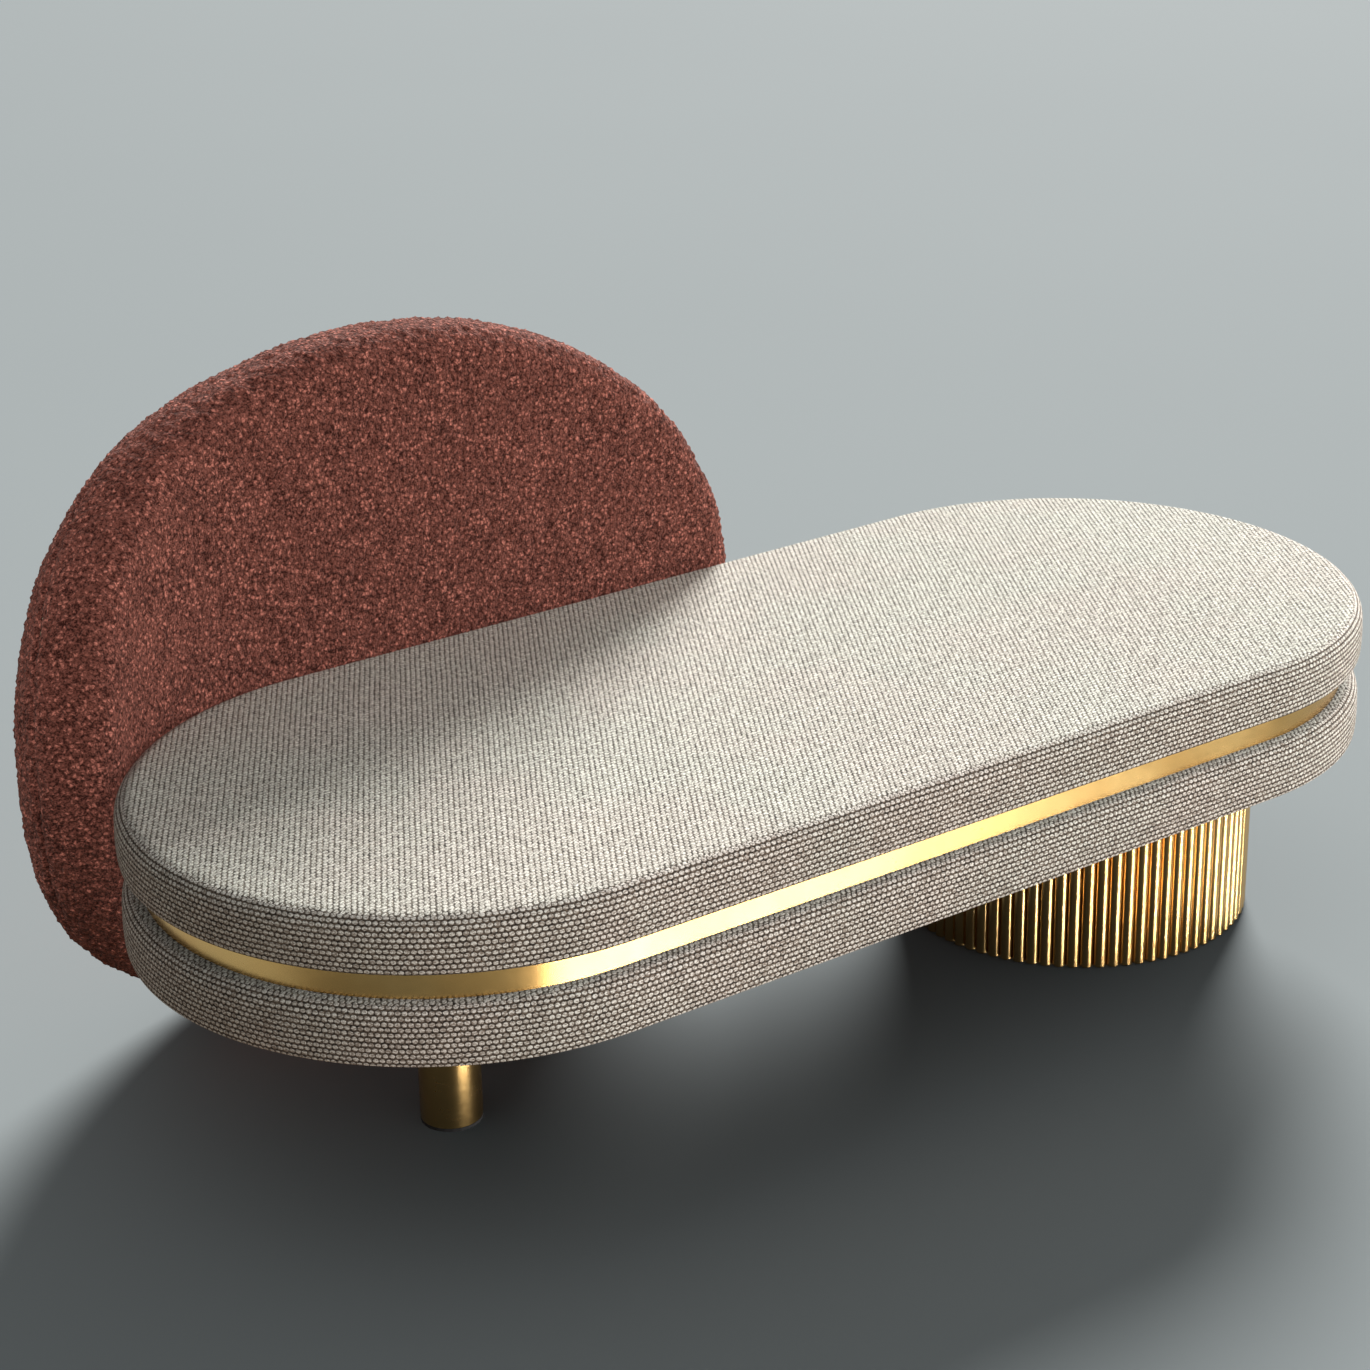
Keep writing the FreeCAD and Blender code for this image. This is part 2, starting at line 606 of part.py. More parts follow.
def make_leg():
    low = f"{BASE_LOW} - sizes.leg_plate_thick"
    wide = "sizes.leg_plate_wide"
    thick = "sizes.leg_plate_thick"
    plate = box("leg_plate_blank", f"-{LEG_REACH}", f"-{wide} / 2", low, wide, wide, thick)
    keep(drilled("leg_plate", plate, LEG_BOLTS, "sizes.bolt_hole_radius", low, thick), "leg_plate")

    tube = doc.addObject("PartDesign::Body", "leg_tube")
    outline = body_sketch(tube, "leg_tube_outline")
    circle(outline, "sizes.leg_diameter / 2")
    circle(outline, "sizes.leg_diameter / 2 - sizes.leg_wall")
    pad(tube, outline, f"{BASE_LOW} - sizes.leg_plate_thick - sizes.foot_thick")
    bind(tube, x=f"-{LEG_REACH}", z="sizes.foot_thick")
    keep(tube, "leg_tube")

    spigot_radius = "sizes.leg_diameter / 2 - sizes.leg_wall - sizes.ease"
    sole = small_rod("leg_foot_sole", "sizes.leg_diameter / 2", "sizes.foot_thick")
    spigot = small_rod("leg_foot_spigot", spigot_radius, "sizes.foot_thick + sizes.foot_spigot")
    sole.Polygon = FOOT_SIDES
    spigot.Polygon = FOOT_SIDES
    foot = fuse("leg_foot", [sole, spigot])
    bind(foot, x=f"-{LEG_REACH}")
    keep(foot, "leg_foot")

    bolts = []
    nuts = []
    shank = "(sizes.leg_plate_thick + sizes.cover_thick + sizes.bottom_board_thick)"
    for index, (x, y) in enumerate(LEG_BOLTS):
        bolts.append(bolt(f"leg_bolt_{index}", x, y, low, shank))
        nuts.append(tee_nut(f"leg_nut_{index}", x, y, RAIL_LOW, "sizes.bottom_board_thick - 2 * sizes.ease"))
    keep(group("leg_bolts", bolts), "leg_bolts")
    keep(group("leg_tee_nuts", nuts), "leg_tee_nuts")


# Drum


def make_drum_skin():
    """A brass skin pressed into half-round ribs that stand side by side all round."""
    skin = doc.addObject("PartDesign::Body", "drum_skin")
    wall = body_sketch(skin, "drum_skin_wall")
    circle(wall, "sizes.rib_circle_radius")
    circle(wall, "sizes.rib_circle_radius - sizes.skin_wall")
    height = f"{BASE_LOW} - sizes.skin_lift - sizes.ease"
    pad(skin, wall, height)

    rib = body_sketch(skin, "drum_rib")
    centre = Vector(number("sizes.rib_circle_radius"), 0, 0)
    radius = number("sizes.rib_radius")
    half_turn = Part.ArcOfCircle(Part.Circle(centre, Vector(0, 0, 1), radius), -math.pi / 2, math.pi / 2)
    sink = number("sizes.skin_wall") / 2
    low, high = Vector(0, -radius, 0), Vector(0, radius, 0)
    back = Vector(-sink, 0, 0)
    rib.addGeometry(half_turn)
    rib.addGeometry(Part.LineSegment(centre + high, centre + high + back))
    rib.addGeometry(Part.LineSegment(centre + high + back, centre + low + back))
    rib.addGeometry(Part.LineSegment(centre + low + back, centre + low))
    for one, one_point, other, other_point in ((0, 2, 1, 1), (1, 2, 2, 1), (2, 2, 3, 1), (3, 2, 0, 1)):
        rib.addConstraint(Sketcher.Constraint("Coincident", one, one_point, other, other_point))
    for line in (1, 3):
        rib.addConstraint(Sketcher.Constraint("Horizontal", line))
    rib.addConstraint(Sketcher.Constraint("Vertical", 2))
    rib.addConstraint(Sketcher.Constraint("Vertical", 0, 2, 0, 3))
    rib.addConstraint(Sketcher.Constraint("PointOnObject", 0, 3, -1))
    driven = (
        (Sketcher.Constraint("Radius", 0, radius), "sizes.rib_radius"),
        (Sketcher.Constraint("DistanceX", -1, 1, 0, 3, centre.x), "sizes.rib_circle_radius"),
        (Sketcher.Constraint("DistanceX", 1, 2, 1, 1, sink), "sizes.skin_wall / 2"),
    )
    for constraint, expression in driven:
        index = rib.addConstraint(constraint)
        rib.setExpression(f"Constraints[{index}]", expression)
    rib_pad = skin.newObject("PartDesign::Pad", "drum_rib_pad")
    rib_pad.Profile = rib
    rib_pad.setExpression("Length", height)
    doc.recompute()
    pattern = skin.newObject("PartDesign::PolarPattern", "drum_ribs")
    pattern.Originals = [rib_pad]
    pattern.Axis = (rib, ["N_Axis"])
    pattern.Angle = 360
    pattern.setExpression("Occurrences", "sizes.rib_count")
    skin.Tip = pattern
    bind(skin, x=DRUM_REACH, z="sizes.skin_lift")
    keep(skin, "drum_skin")


def make_drum():
    make_drum_skin()
    core_outside = "(sizes.rib_circle_radius - sizes.skin_wall - sizes.ease)"
    core_inside = f"({core_outside} - sizes.core_wall)"
    core = doc.addObject("PartDesign::Body", "drum_core")
    outline = body_sketch(core, "drum_core_outline")
    circle(outline, core_outside)
    circle(outline, core_inside)
    pad(core, outline, f"{BASE_LOW} - sizes.glide_thick")
    bind(core, x=DRUM_REACH, z="sizes.glide_thick")
    keep(core, "drum_core")

    radius = f"({core_inside} - sizes.ease)"
    top = doc.addObject("PartDesign::Body", "drum_top_blank")
    outline = body_sketch(top, "drum_top_board_outline")
    circle(outline, radius)
    pad(top, outline, "sizes.drum_board_thick")
    low = f"{BASE_LOW} - sizes.drum_board_thick"
    thick = "sizes.drum_board_thick"
    bind(top, x=DRUM_REACH, z=low)
    keep(drilled("drum_top_board", top, DRUM_BOLTS, "sizes.bolt_hole_radius", low, thick), "drum_top_board")

    bottom = doc.addObject("PartDesign::Body", "drum_bottom_board")
    outline = body_sketch(bottom, "drum_bottom_board_outline")
    circle(outline, radius)
    pad(bottom, outline, "sizes.drum_board_thick")
    bind(bottom, x=DRUM_REACH, z="sizes.glide_thick")
    keep(bottom, "drum_bottom_board")

    glides = []
    for index, (x, y) in enumerate(round_places(DRUM_REACH, "sizes.glide_circle", 4, 0)):
        glides.append(small_rod(f"drum_glide_{index}", "sizes.glide_radius", "sizes.glide_thick", x, y))
    keep(group("drum_glides", glides), "drum_glides")

    bolts = []
    nuts = []
    shank = "(sizes.drum_board_thick + sizes.cover_thick + sizes.bottom_board_thick)"
    for index, (x, y) in enumerate(DRUM_BOLTS):
        bolts.append(bolt(f"drum_bolt_{index}", x, y, low, shank))
        nuts.append(tee_nut(f"drum_nut_{index}", x, y, RAIL_LOW, "sizes.bottom_board_thick - 2 * sizes.ease"))
    keep(group("drum_bolts", bolts), "drum_bolts")
    keep(group("drum_tee_nuts", nuts), "drum_tee_nuts")


# Backrest. Its outline is an ellipse drawn on the inner face: u runs along that face from the start of the
# bend, positive along the straight rear edge and negative round the left end, and z is the height. A depth
# is measured from the rear edge of the pads, square to the face.

RIM_POINTS = 11
RIM_STEPS = (3, 4)
LINING_RIM_STEPS = (2, 3)
BACK_FACE = "sizes.back_gap"


def wrapped(u, depth, z):
    """The point at u, depth and z, in the part's frame."""
    bend_x = -number(HALF_STRAIGHT)
    bend_radius = number("sizes.width / 2")
    if u >= 0:
        return Vector(bend_x + u, bend_radius + depth, z)
    turn = -u / bend_radius
    reach = bend_radius + depth
    return Vector(bend_x - reach * math.sin(turn), reach * math.cos(turn), z)


def outline_point(angle, inset):
    """u and z on the ellipse at an angle, moved inward by inset, square to the outline."""
    half_long, half_high = number("sizes.back_half_long"), number("sizes.back_half_high")
    slope_u, slope_z = -half_long * math.sin(angle), half_high * math.cos(angle)
    slope = math.hypot(slope_u, slope_z)
    u = number("sizes.back_centre") + half_long * math.cos(angle) - inset * slope_z / slope
    z = number("sizes.back_middle_high") + half_high * math.sin(angle) + inset * slope_u / slope
    return u, z


def bend_angle(inset):
    """The angle at which the upper half of the moved outline passes the start of the bend."""
    low, high = math.pi / 2, math.pi
    for _ in range(60):
        middle = (low + high) / 2
        if outline_point(middle, inset)[0] > 0:
            low = middle
        else:
            high = middle
    return (low + high) / 2


def outline_edges(inset, depth):
    """The moved outline at one depth, as four edges: over the right end, and three round the left end."""
    bend = bend_angle(inset)

    def curve(first, last):
        points = []
        for step in range(RIM_POINTS):
            u, z = outline_point(first + (last - first) * step / (RIM_POINTS - 1), inset)
            points.append(wrapped(max(u, 0) if abs(u) < 1e-6 else u, depth, z))
        edge = Part.BSplineCurve()
        edge.interpolate(points)
        return edge.toShape()

    tip = math.pi
    right_tip = 0.0
    return [
        curve(right_tip, bend),
        curve(bend, tip),
        curve(2 * tip - bend, tip),
        curve(right_tip, -bend),
    ]


def broad_faces(row, depth):
    """The inner or rear face inside a row: flat on the right, and a bent face round the left end."""
    upper_right, upper_left, lower_left, lower_right = row
    top, foot = upper_left.valueAt(upper_left.FirstParameter), lower_left.valueAt(lower_left.FirstParameter)
    bend_line = Part.makeLine(top, foot)
    flat = Part.Face(Part.Wire(Part.__sortEdges__([upper_right, bend_line, lower_right])))
    surface = Part.Cylinder()
    surface.Center = Vector(-number(HALF_STRAIGHT), 0, 0)
    surface.Radius = number("sizes.width / 2") + depth
    bent = Part.Face(surface, Part.Wire(Part.__sortEdges__([upper_left, bend_line, lower_left])))
    bent.validate()
    return [flat, bent]


def backrest_form(rim):
    """A closed solid from the rim's profile, a list of insets and depths from the inner face to the rear."""
    rows = [outline_edges(inset, depth) for inset, depth in rim]
    faces = []
    for near, far in zip(rows[:-1], rows[1:]):
        for one, other in zip(near, far):
            faces.append(Part.makeRuledSurface(one, other))
    faces += broad_faces(rows[0], rim[0][1])
    faces += broad_faces(rows[-1], rim[-1][1])
    shell = Part.makeShell(faces)
    shell.sewShape()
    solid = Part.makeSolid(shell)
    if solid.Volume < 0:
        solid.reverse()
    return solid


def rim_profile(lay, steps):
    """The rounded rim, lay deep under the outside: inner rounding, short flat and larger rear rounding."""
    front_steps, rear_steps = steps
    front = number("sizes.back_gap") + lay
    rear = number("sizes.back_gap + sizes.back_thick") - lay
    front_round = number("sizes.back_front_round") - lay
    rear_round = number("sizes.back_rear_round") - lay
    rows = []
    for step in range(front_steps + 1):
        angle = math.pi / 2 * step / front_steps
        rows.append((lay + front_round * (1 - math.sin(angle)), front + front_round * (1 - math.cos(angle))))
    for step in range(rear_steps, -1, -1):
        angle = math.pi / 2 * step / rear_steps
        rows.append((lay + rear_round * (1 - math.sin(angle)), rear - rear_round * (1 - math.cos(angle))))
    return rows


def slab(front, rear, low, high):
    """All that lies between two depths and two heights, along the rear edge and round the left end."""
    bend_x = -number(HALF_STRAIGHT)
    bend_radius = number("sizes.width / 2")
    far = number("sizes.back_centre + sizes.back_half_long") + bend_radius
    reach = math.radians(85)

    def spot(radius, share):
        return Vector(bend_x - radius * math.sin(reach * share), radius * math.cos(reach * share), low)

    near_radius, far_radius = bend_radius + front, bend_radius + rear
    near_end, far_end = Vector(bend_x + far, near_radius, low), Vector(bend_x + far, far_radius, low)
    wire = Part.Wire([
        Part.makeLine(near_end, spot(near_radius, 0)),
        Part.Arc(spot(near_radius, 0), spot(near_radius, 0.5), spot(near_radius, 1)).toShape(),
        Part.makeLine(spot(near_radius, 1), spot(far_radius, 1)),
        Part.Arc(spot(far_radius, 1), spot(far_radius, 0.5), spot(far_radius, 0)).toShape(),
        Part.makeLine(spot(far_radius, 0), far_end),
        Part.makeLine(far_end, near_end),
    ])
    return Part.Face(wire).extrude(Vector(0, 0, high - low))


def above(shape, level):
    """The shape with everything under a level cut off."""
    wide = 4 * number("sizes.length")
    return shape.cut(Part.makeBox(wide, wide, wide, Vector(-wide / 2, -wide / 2, level - wide)))


def back_feature(label, shape):
    thing = doc.addObject("Part::Feature", label)
    thing.Shape = shape
    return keep(thing, label)


BLOCK_TOP = SEAT_LOW


def tie_limb(name, place, room):
    """The tie's flat limb over the band core, or with room added the rebate that it lies in."""
    wide = f"(sizes.tie_wide + 2 * {room})"
    deep = f"(sizes.tie_deep + 2 * {room})"
    y = f"{REAR_EDGE} - sizes.tie_deep - {room}"
    z = f"{SEAT_LOW} - sizes.tie_thick - {room}"
    return box(name, block_x(place), y, z, wide, deep, f"(sizes.tie_thick + 2 * {room})")


def bolt_heights():
    """Heights of the bolts that go backward into a block: two through the bracket and one through the tie."""
    low = f"({BASE_LOW} - sizes.bracket_bolt_low)"
    middle = f"({BASE_LOW} - sizes.bracket_bolt_high)"
    high = f"({SEAT_LOW} - sizes.band_high / 2)"
    return low, middle, high


def make_back_blocks():
    blocks = []
    for index, place in enumerate(BLOCKS):
        y = f"{REAR_EDGE} + {BACK_FACE} + sizes.back_cover_thick + sizes.ease"
        deep = "(sizes.shell_depth - sizes.back_cover_thick - 2 * sizes.ease)"
        high = f"({BLOCK_TOP} - sizes.block_low)"
        low = "sizes.block_low"
        block = box(f"back_block_{index}_solid", block_x(place), y, low, "sizes.block_wide", deep, high)
        drills = []
        for step, height in enumerate(bolt_heights()):
            name = f"back_block_{index}_drill_{step}"
            drill = small_rod(name, "sizes.bolt_hole_radius", "sizes.back_thick")
            drill.Placement = Placement(Vector(), BACKWARD)
            bind(drill, x=block_x(place), y=REAR_EDGE, z=height)
            drills.append(drill)
        blocks.append(cut(f"back_block_{index}", block, fuse(f"back_block_{index}_drills", drills)))
    keep(group("back_blocks", blocks), "back_blocks")


def block_rooms(room, low_depth, high_depth):
    """The space that the blocks take in the foam, with room added round them."""
    rooms = []
    for place in BLOCKS:
        x = number(block_x(place))
        wide = number("sizes.block_wide") + 2 * room
        low = number("sizes.block_low") - room
        high = number(BLOCK_TOP) + room
        y = number(REAR_EDGE)
        corner = Vector(x - wide / 2, y + low_depth, low)
        rooms.append(Part.makeBox(wide, high_depth - low_depth, high - low, corner))
    return rooms


def bolt_rooms(radius, low_depth, high_depth):
    """The holes that the backward bolts need through a layer."""
    rooms = []
    for place in BLOCKS:
        for height in bolt_heights():
            start = Vector(number(block_x(place)), number(REAR_EDGE) + low_depth, number(height))
            wire = Part.makePolygon([
                start + Vector(radius * math.sin(turn), 0, radius * math.cos(turn))
                for turn in [2 * math.pi * side / SMALL_SIDES for side in range(SMALL_SIDES + 1)]
            ])
            rooms.append(Part.Face(wire).extrude(Vector(0, high_depth - low_depth, 0)))
    return rooms


def make_backrest():
    gap = number("sizes.back_gap")
    thick = number("sizes.back_thick")
    cover = number("sizes.back_cover_thick")
    ease = number("sizes.ease")
    lift = number("sizes.back_lift")
    seam = gap + number("sizes.back_seam")
    shell_front = gap + number("sizes.shell_depth")
    shell_rear = shell_front + number("sizes.shell_thick")
    shell_inset = number("sizes.shell_inset")
    top = number("sizes.back_middle_high + sizes.back_half_high + sizes.back_thick")
    past = gap + 2 * thick

    outside = above(backrest_form(rim_profile(0, RIM_STEPS)), lift)
    lining = above(backrest_form(rim_profile(cover, LINING_RIM_STEPS)), lift + cover)
    stuffing = above(backrest_form(rim_profile(cover + ease, LINING_RIM_STEPS)), lift + cover + ease)
    front_part = slab(gap - thick, seam - ease / 2, -thick, top)
    rear_part = slab(seam + ease / 2, past, -thick, top)
    front_cover = outside.common(front_part).cut(lining)
    front_cover = front_cover.cut(bolt_rooms(number("sizes.bolt_hole_radius"), 0, gap + 2 * cover))
    rear_cover = outside.common(rear_part).cut(lining)
    back_feature("back_front_cover", front_cover)
    back_feature("back_rear_cover", rear_cover)

    shell = backrest_form([(shell_inset, shell_front), (shell_inset, shell_rear)])
    shell = above(shell, lift + cover + ease)
    shell_room = backrest_form([
        (shell_inset - ease, shell_front - ease),
        (shell_inset - ease, shell_rear + ease),
    ])
    split = shell_front - ease
    front_foam = stuffing.common(slab(gap - thick, split, -thick, top))
    front_foam = front_foam.cut(block_rooms(ease, gap - thick / 2, split + ease))
    rear_foam = stuffing.common(slab(split + ease, past, -thick, top)).cut(shell_room)
    back_feature("back_shell", shell)
    back_feature("back_front_foam", front_foam)
    back_feature("back_rear_foam", rear_foam)

    # the plinth is a flat bar with round ends, under the middle of the shell
    middle_y = f"{REAR_EDGE} + {BACK_FACE} + sizes.shell_depth + sizes.shell_thick / 2"
    middle_x = f"(sizes.back_centre - {HALF_STRAIGHT})"
    straight = "(sizes.plinth_long - sizes.plinth_wide)"
    wide = "sizes.plinth_wide"
    bar = box("plinth_bar", middle_x, f"{middle_y} - {wide} / 2", "0", straight, wide, "sizes.back_lift")
    ends = []
    for side in (-1, 1):
        x = f"{middle_x} + {straight} / 2 * {side}"
        ends.append(rod(f"plinth_end_{side + 1}", "sizes.plinth_wide / 2", "sizes.back_lift", x, middle_y))
    keep(fuse("back_plinth", [bar] + ends), "back_plinth")
    make_back_blocks()


# Brackets and ties


def angle_piece(name, flat, upright, drills):
    return cut(name, fuse(f"{name}_solid", [flat, upright]), fuse(f"{name}_drills", drills))


def back_drill(name, x, height):
    """A bolt's hole through an angle's upright limb."""
    drill = small_rod(name, "sizes.bolt_hole_radius", "4 * sizes.bracket_thick")
    drill.Placement = Placement(Vector(), BACKWARD)
    bind(drill, x=x, y=f"{REAR_EDGE} - 2 * sizes.bracket_thick", z=height)
    return drill


def screw(name, x, y, head_low, stem_low, stem_long):
    head = small_rod(f"{name}_head", "sizes.screw_head_radius", "sizes.screw_head_thick", x, y, head_low)
    stem = small_rod(f"{name}_stem", "sizes.screw_radius", stem_long, x, y, stem_low)
    return fuse(name, [head, stem])


def make_brackets():
    """Angles under the base, screwed up into its bottom board and bolted back into the blocks."""
    brackets = []
    screws = []
    bolts = []
    face = f"({REAR_EDGE} + {BACK_FACE})"
    low = f"({BASE_LOW} - sizes.bracket_thick)"
    for index, place in enumerate(BLOCKS):
        name = f"bracket_{index}"
        x = block_x(place)
        flat = box(f"{name}_flat", x, f"{face} - sizes.bracket_deep", low, "sizes.bracket_wide",
                   "sizes.bracket_deep", "sizes.bracket_thick")
        drop = "sizes.bracket_drop"
        upright = box(f"{name}_upright", x, f"{face} - sizes.bracket_thick", f"{BASE_LOW} - {drop}",
                      "sizes.bracket_wide", "sizes.bracket_thick", drop)
        drills = []
        for step, height in enumerate(bolt_heights()[:2]):
            drills.append(back_drill(f"{name}_drill_{step}", x, height))
            bolts.append(bolt(f"{name}_bolt_{step}", x, f"{face} - sizes.bracket_thick", height,
                              "sizes.back_bolt_long", BACKWARD))
        for step, (screw_x, screw_y) in enumerate(BRACKET_SCREWS[2 * index:2 * index + 2]):
            hole_low = f"{BASE_LOW} - 2 * sizes.bracket_thick"
            drills.append(small_rod(f"{name}_screw_hole_{step}", PILOT_RADIUS, "4 * sizes.bracket_thick",
                                    screw_x, screw_y, hole_low))
            head_low = f"{low} - sizes.screw_head_thick"
            screws.append(screw(f"{name}_screw_{step}", screw_x, screw_y, head_low, low,
                                "sizes.bracket_screw_long"))
        brackets.append(angle_piece(name, flat, upright, drills))
    keep(group("back_brackets", brackets), "back_brackets")
    keep(group("bracket_screws", screws), "bracket_screws")
    keep(group("back_bolts", bolts), "back_bolts")


def make_ties():
    """Angles at the brass band: over the band core, through a notch in the band, down the backrest."""
    ties = []
    screws = []
    bolts = []
    height = bolt_heights()[2]
    face = f"({REAR_EDGE} + {BACK_FACE})"
    drop = "(sizes.band_high - 2 * sizes.ease)"
    for index, place in enumerate(BLOCKS):
        name = f"tie_{index}"
        x = block_x(place)
        limb = tie_limb(f"{name}_limb", place, "0")
        upright = box(f"{name}_upright", x, f"{face} - sizes.tie_thick", f"{SEAT_LOW} - {drop}",
                      "sizes.tie_wide", "sizes.tie_thick", drop)
        drills = [back_drill(f"{name}_drill", x, height)]
        bolts.append(bolt(f"{name}_bolt", x, f"{face} - sizes.tie_thick", height, "sizes.back_bolt_long",
                          BACKWARD))
        for step, (screw_x, screw_y) in enumerate(TIE_SCREWS[2 * index:2 * index + 2]):
            # a flat head sunk flush with the tie's top face
            sink_low = f"{SEAT_LOW} - sizes.screw_head_thick"
            drills.append(small_rod(f"{name}_screw_hole_{step}", PILOT_RADIUS, "4 * sizes.tie_thick", screw_x,
                                    screw_y, f"{SEAT_LOW} - 3 * sizes.tie_thick"))
            drills.append(small_rod(f"{name}_sink_{step}", "sizes.screw_head_radius + sizes.ease",
                                    "2 * sizes.screw_head_thick", screw_x, screw_y, sink_low))
            screws.append(screw(f"{name}_screw_{step}", screw_x, screw_y, sink_low,
                                f"{SEAT_LOW} - sizes.tie_screw_long", "sizes.tie_screw_long"))
        ties.append(angle_piece(name, limb, upright, drills))
    keep(group("tie_plates", ties), "tie_plates")
    keep(group("tie_screws", screws), "tie_screws")
    keep(group("tie_bolts", bolts), "tie_bolts")


def write_parts():
    """Checks every object and sub-part, then writes one file for each node."""
    doc.recompute()
    faults = [item.Name for item in doc.Objects if "Invalid" in item.State or "Error" in item.State]
    for label, item in nodes.items():
        if item.Shape.isNull() or not item.Shape.isValid():
            faults.append(label)
        elif not item.Shape.Solids:
            faults.append(f"{label} has no solid")
    if faults:
        raise RuntimeError(f"failed: {faults}")
    os.makedirs("parts", exist_ok=True)
    for label, item in nodes.items():
        item.Shape.exportStep(f"parts/{label}.step")
    print(f"{len(nodes)} nodes, {sum(len(item.Shape.Solids) for item in nodes.values())} solids")


make_seat_pad()
make_seat_bolts()
make_band()
make_base_pad()
make_leg()
make_drum()
make_backrest()
make_brackets()
make_ties()
write_parts()
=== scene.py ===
# %% [markdown]
# # A chaise longue, dressed
# The CAD model gives every board, bolt and rib its place. This script dresses it: woven covers on the two pads,
# boucle on the thick backrest, satin and fluted brass, and a studio to look at it in.
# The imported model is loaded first. Its nodes stay where they are, and new pieces are fitted to them.

# %% The frame
import json
import math

import bmesh
import bpy
import numpy as np
from mathutils import Matrix, Vector


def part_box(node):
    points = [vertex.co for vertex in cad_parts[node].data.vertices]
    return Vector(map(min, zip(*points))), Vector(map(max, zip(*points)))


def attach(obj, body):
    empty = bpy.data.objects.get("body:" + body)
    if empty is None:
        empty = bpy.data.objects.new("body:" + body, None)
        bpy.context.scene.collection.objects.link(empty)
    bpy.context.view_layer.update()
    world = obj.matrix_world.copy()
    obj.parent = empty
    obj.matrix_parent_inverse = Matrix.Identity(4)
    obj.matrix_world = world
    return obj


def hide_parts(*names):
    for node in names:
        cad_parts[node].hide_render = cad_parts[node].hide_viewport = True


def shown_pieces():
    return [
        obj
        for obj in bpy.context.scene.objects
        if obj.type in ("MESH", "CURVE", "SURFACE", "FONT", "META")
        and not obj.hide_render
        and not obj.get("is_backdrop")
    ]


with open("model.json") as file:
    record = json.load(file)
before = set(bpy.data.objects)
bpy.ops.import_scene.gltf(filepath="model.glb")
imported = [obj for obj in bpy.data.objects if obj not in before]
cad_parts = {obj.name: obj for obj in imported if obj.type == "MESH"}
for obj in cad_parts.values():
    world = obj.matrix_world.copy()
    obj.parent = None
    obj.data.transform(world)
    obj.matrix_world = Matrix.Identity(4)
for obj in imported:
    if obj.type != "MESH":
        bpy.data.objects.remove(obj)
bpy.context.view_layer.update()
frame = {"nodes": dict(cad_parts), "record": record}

# %% [markdown]
# ## Sizes from the frame
# A pad seen from above is a stadium: two half circles joined by straight sides. Its sizes come from the box of its
# CAD cover, so that the dressed pad can't drift away from the boards inside it. Only the radius of the rolled upper
# edge is given here, and what is left of the top cover's height is the crown.

# %% Sizes of the pads
side_low, side_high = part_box("seat_side_cover")
PAD_RADIUS = (side_high.y - side_low.y) / 2
PAD_MIDDLE_Y = (side_high.y + side_low.y) / 2
HALF_STRAIGHT = (side_high.x - side_low.x) / 2 - PAD_RADIUS
SEAT_LOW, SEAT_SEAM = side_low.z, side_high.z
BASE_LOW, BASE_SEAM = (corner.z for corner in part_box("base_side_cover"))
EDGE_ROUND = 0.022
SEAT_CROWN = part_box("seat_top_cover")[1].z - SEAT_SEAM - EDGE_ROUND
LEFT_CENTRE = (-HALF_STRAIGHT, PAD_MIDDLE_Y, 0)
print("pad radius", round(PAD_RADIUS, 4), "half straight", round(HALF_STRAIGHT, 4), "crown", round(SEAT_CROWN, 4))

# %% [markdown]
# ## The camera
# The camera stands to the front left, above the seat, and looks down by about 22 degrees through a long lens, so
# the far end hardly shrinks. It is turned to the right, lowered from the level and rolled a little, in radians, as
# worked out from the outlines of the pads and the places of the feet.

# %% Camera
CAMERA_SPOT = Vector((-2.1333, -2.8395, 1.8763))
CAMERA_TURN, CAMERA_DIP, CAMERA_ROLL = 0.6217649, 0.3902676, -0.0183011
FOCAL_PIXELS, PICTURE_PIXELS, SENSOR_MM = 3029.79, 1370, 36

camera_data = bpy.data.cameras.new("camera")
camera_data.lens = FOCAL_PIXELS / PICTURE_PIXELS * SENSOR_MM
camera_data.sensor_width = SENSOR_MM
camera_data.clip_end = 200
camera = bpy.data.objects.new("camera", camera_data)
camera.matrix_world = (
    Matrix.Translation(CAMERA_SPOT) @ Matrix.Rotation(-CAMERA_TURN, 4, "Z")
    @ Matrix.Rotation(math.pi / 2 - CAMERA_DIP, 4, "X") @ Matrix.Rotation(CAMERA_ROLL, 4, "Z")
)
bpy.context.scene.collection.objects.link(camera)
bpy.context.scene.camera = camera
bpy.context.scene.view_settings.view_transform = "Standard"
print("lens", round(camera_data.lens, 2), "mm")

# %% [markdown]
# ## Working by hand, in code
# Each new piece starts as a primitive and is shaped in edit mode. An operator acts on all that is selected, so
# every piece begins with nothing selected, and vertices, edges and faces are then picked by their place. Two places
# count as the same when they are less than a hundredth of a millimetre apart.

# %% Helpers for pieces
SAME_PLACE = 1e-5
MERGE_WITHIN = 1e-6


def deselect_all():
    if bpy.context.object and bpy.context.object.mode != "OBJECT":
        bpy.ops.object.mode_set(mode="OBJECT")
    bpy.ops.object.select_all(action="DESELECT")


def begin(name, primitive, **settings):
    """Add a primitive as the one selected object, with its place in its mesh."""
    deselect_all()
    primitive(**settings)
    piece = bpy.context.object
    piece.name = name
    piece.data.name = name
    bpy.ops.object.transform_apply(location=True, rotation=True, scale=True)
    return piece


def take(piece, mode="OBJECT"):
    """Make a piece the one that operators act on."""
    deselect_all()
    bpy.context.view_layer.objects.active = piece
    piece.select_set(True)
    bpy.ops.object.mode_set(mode=mode)


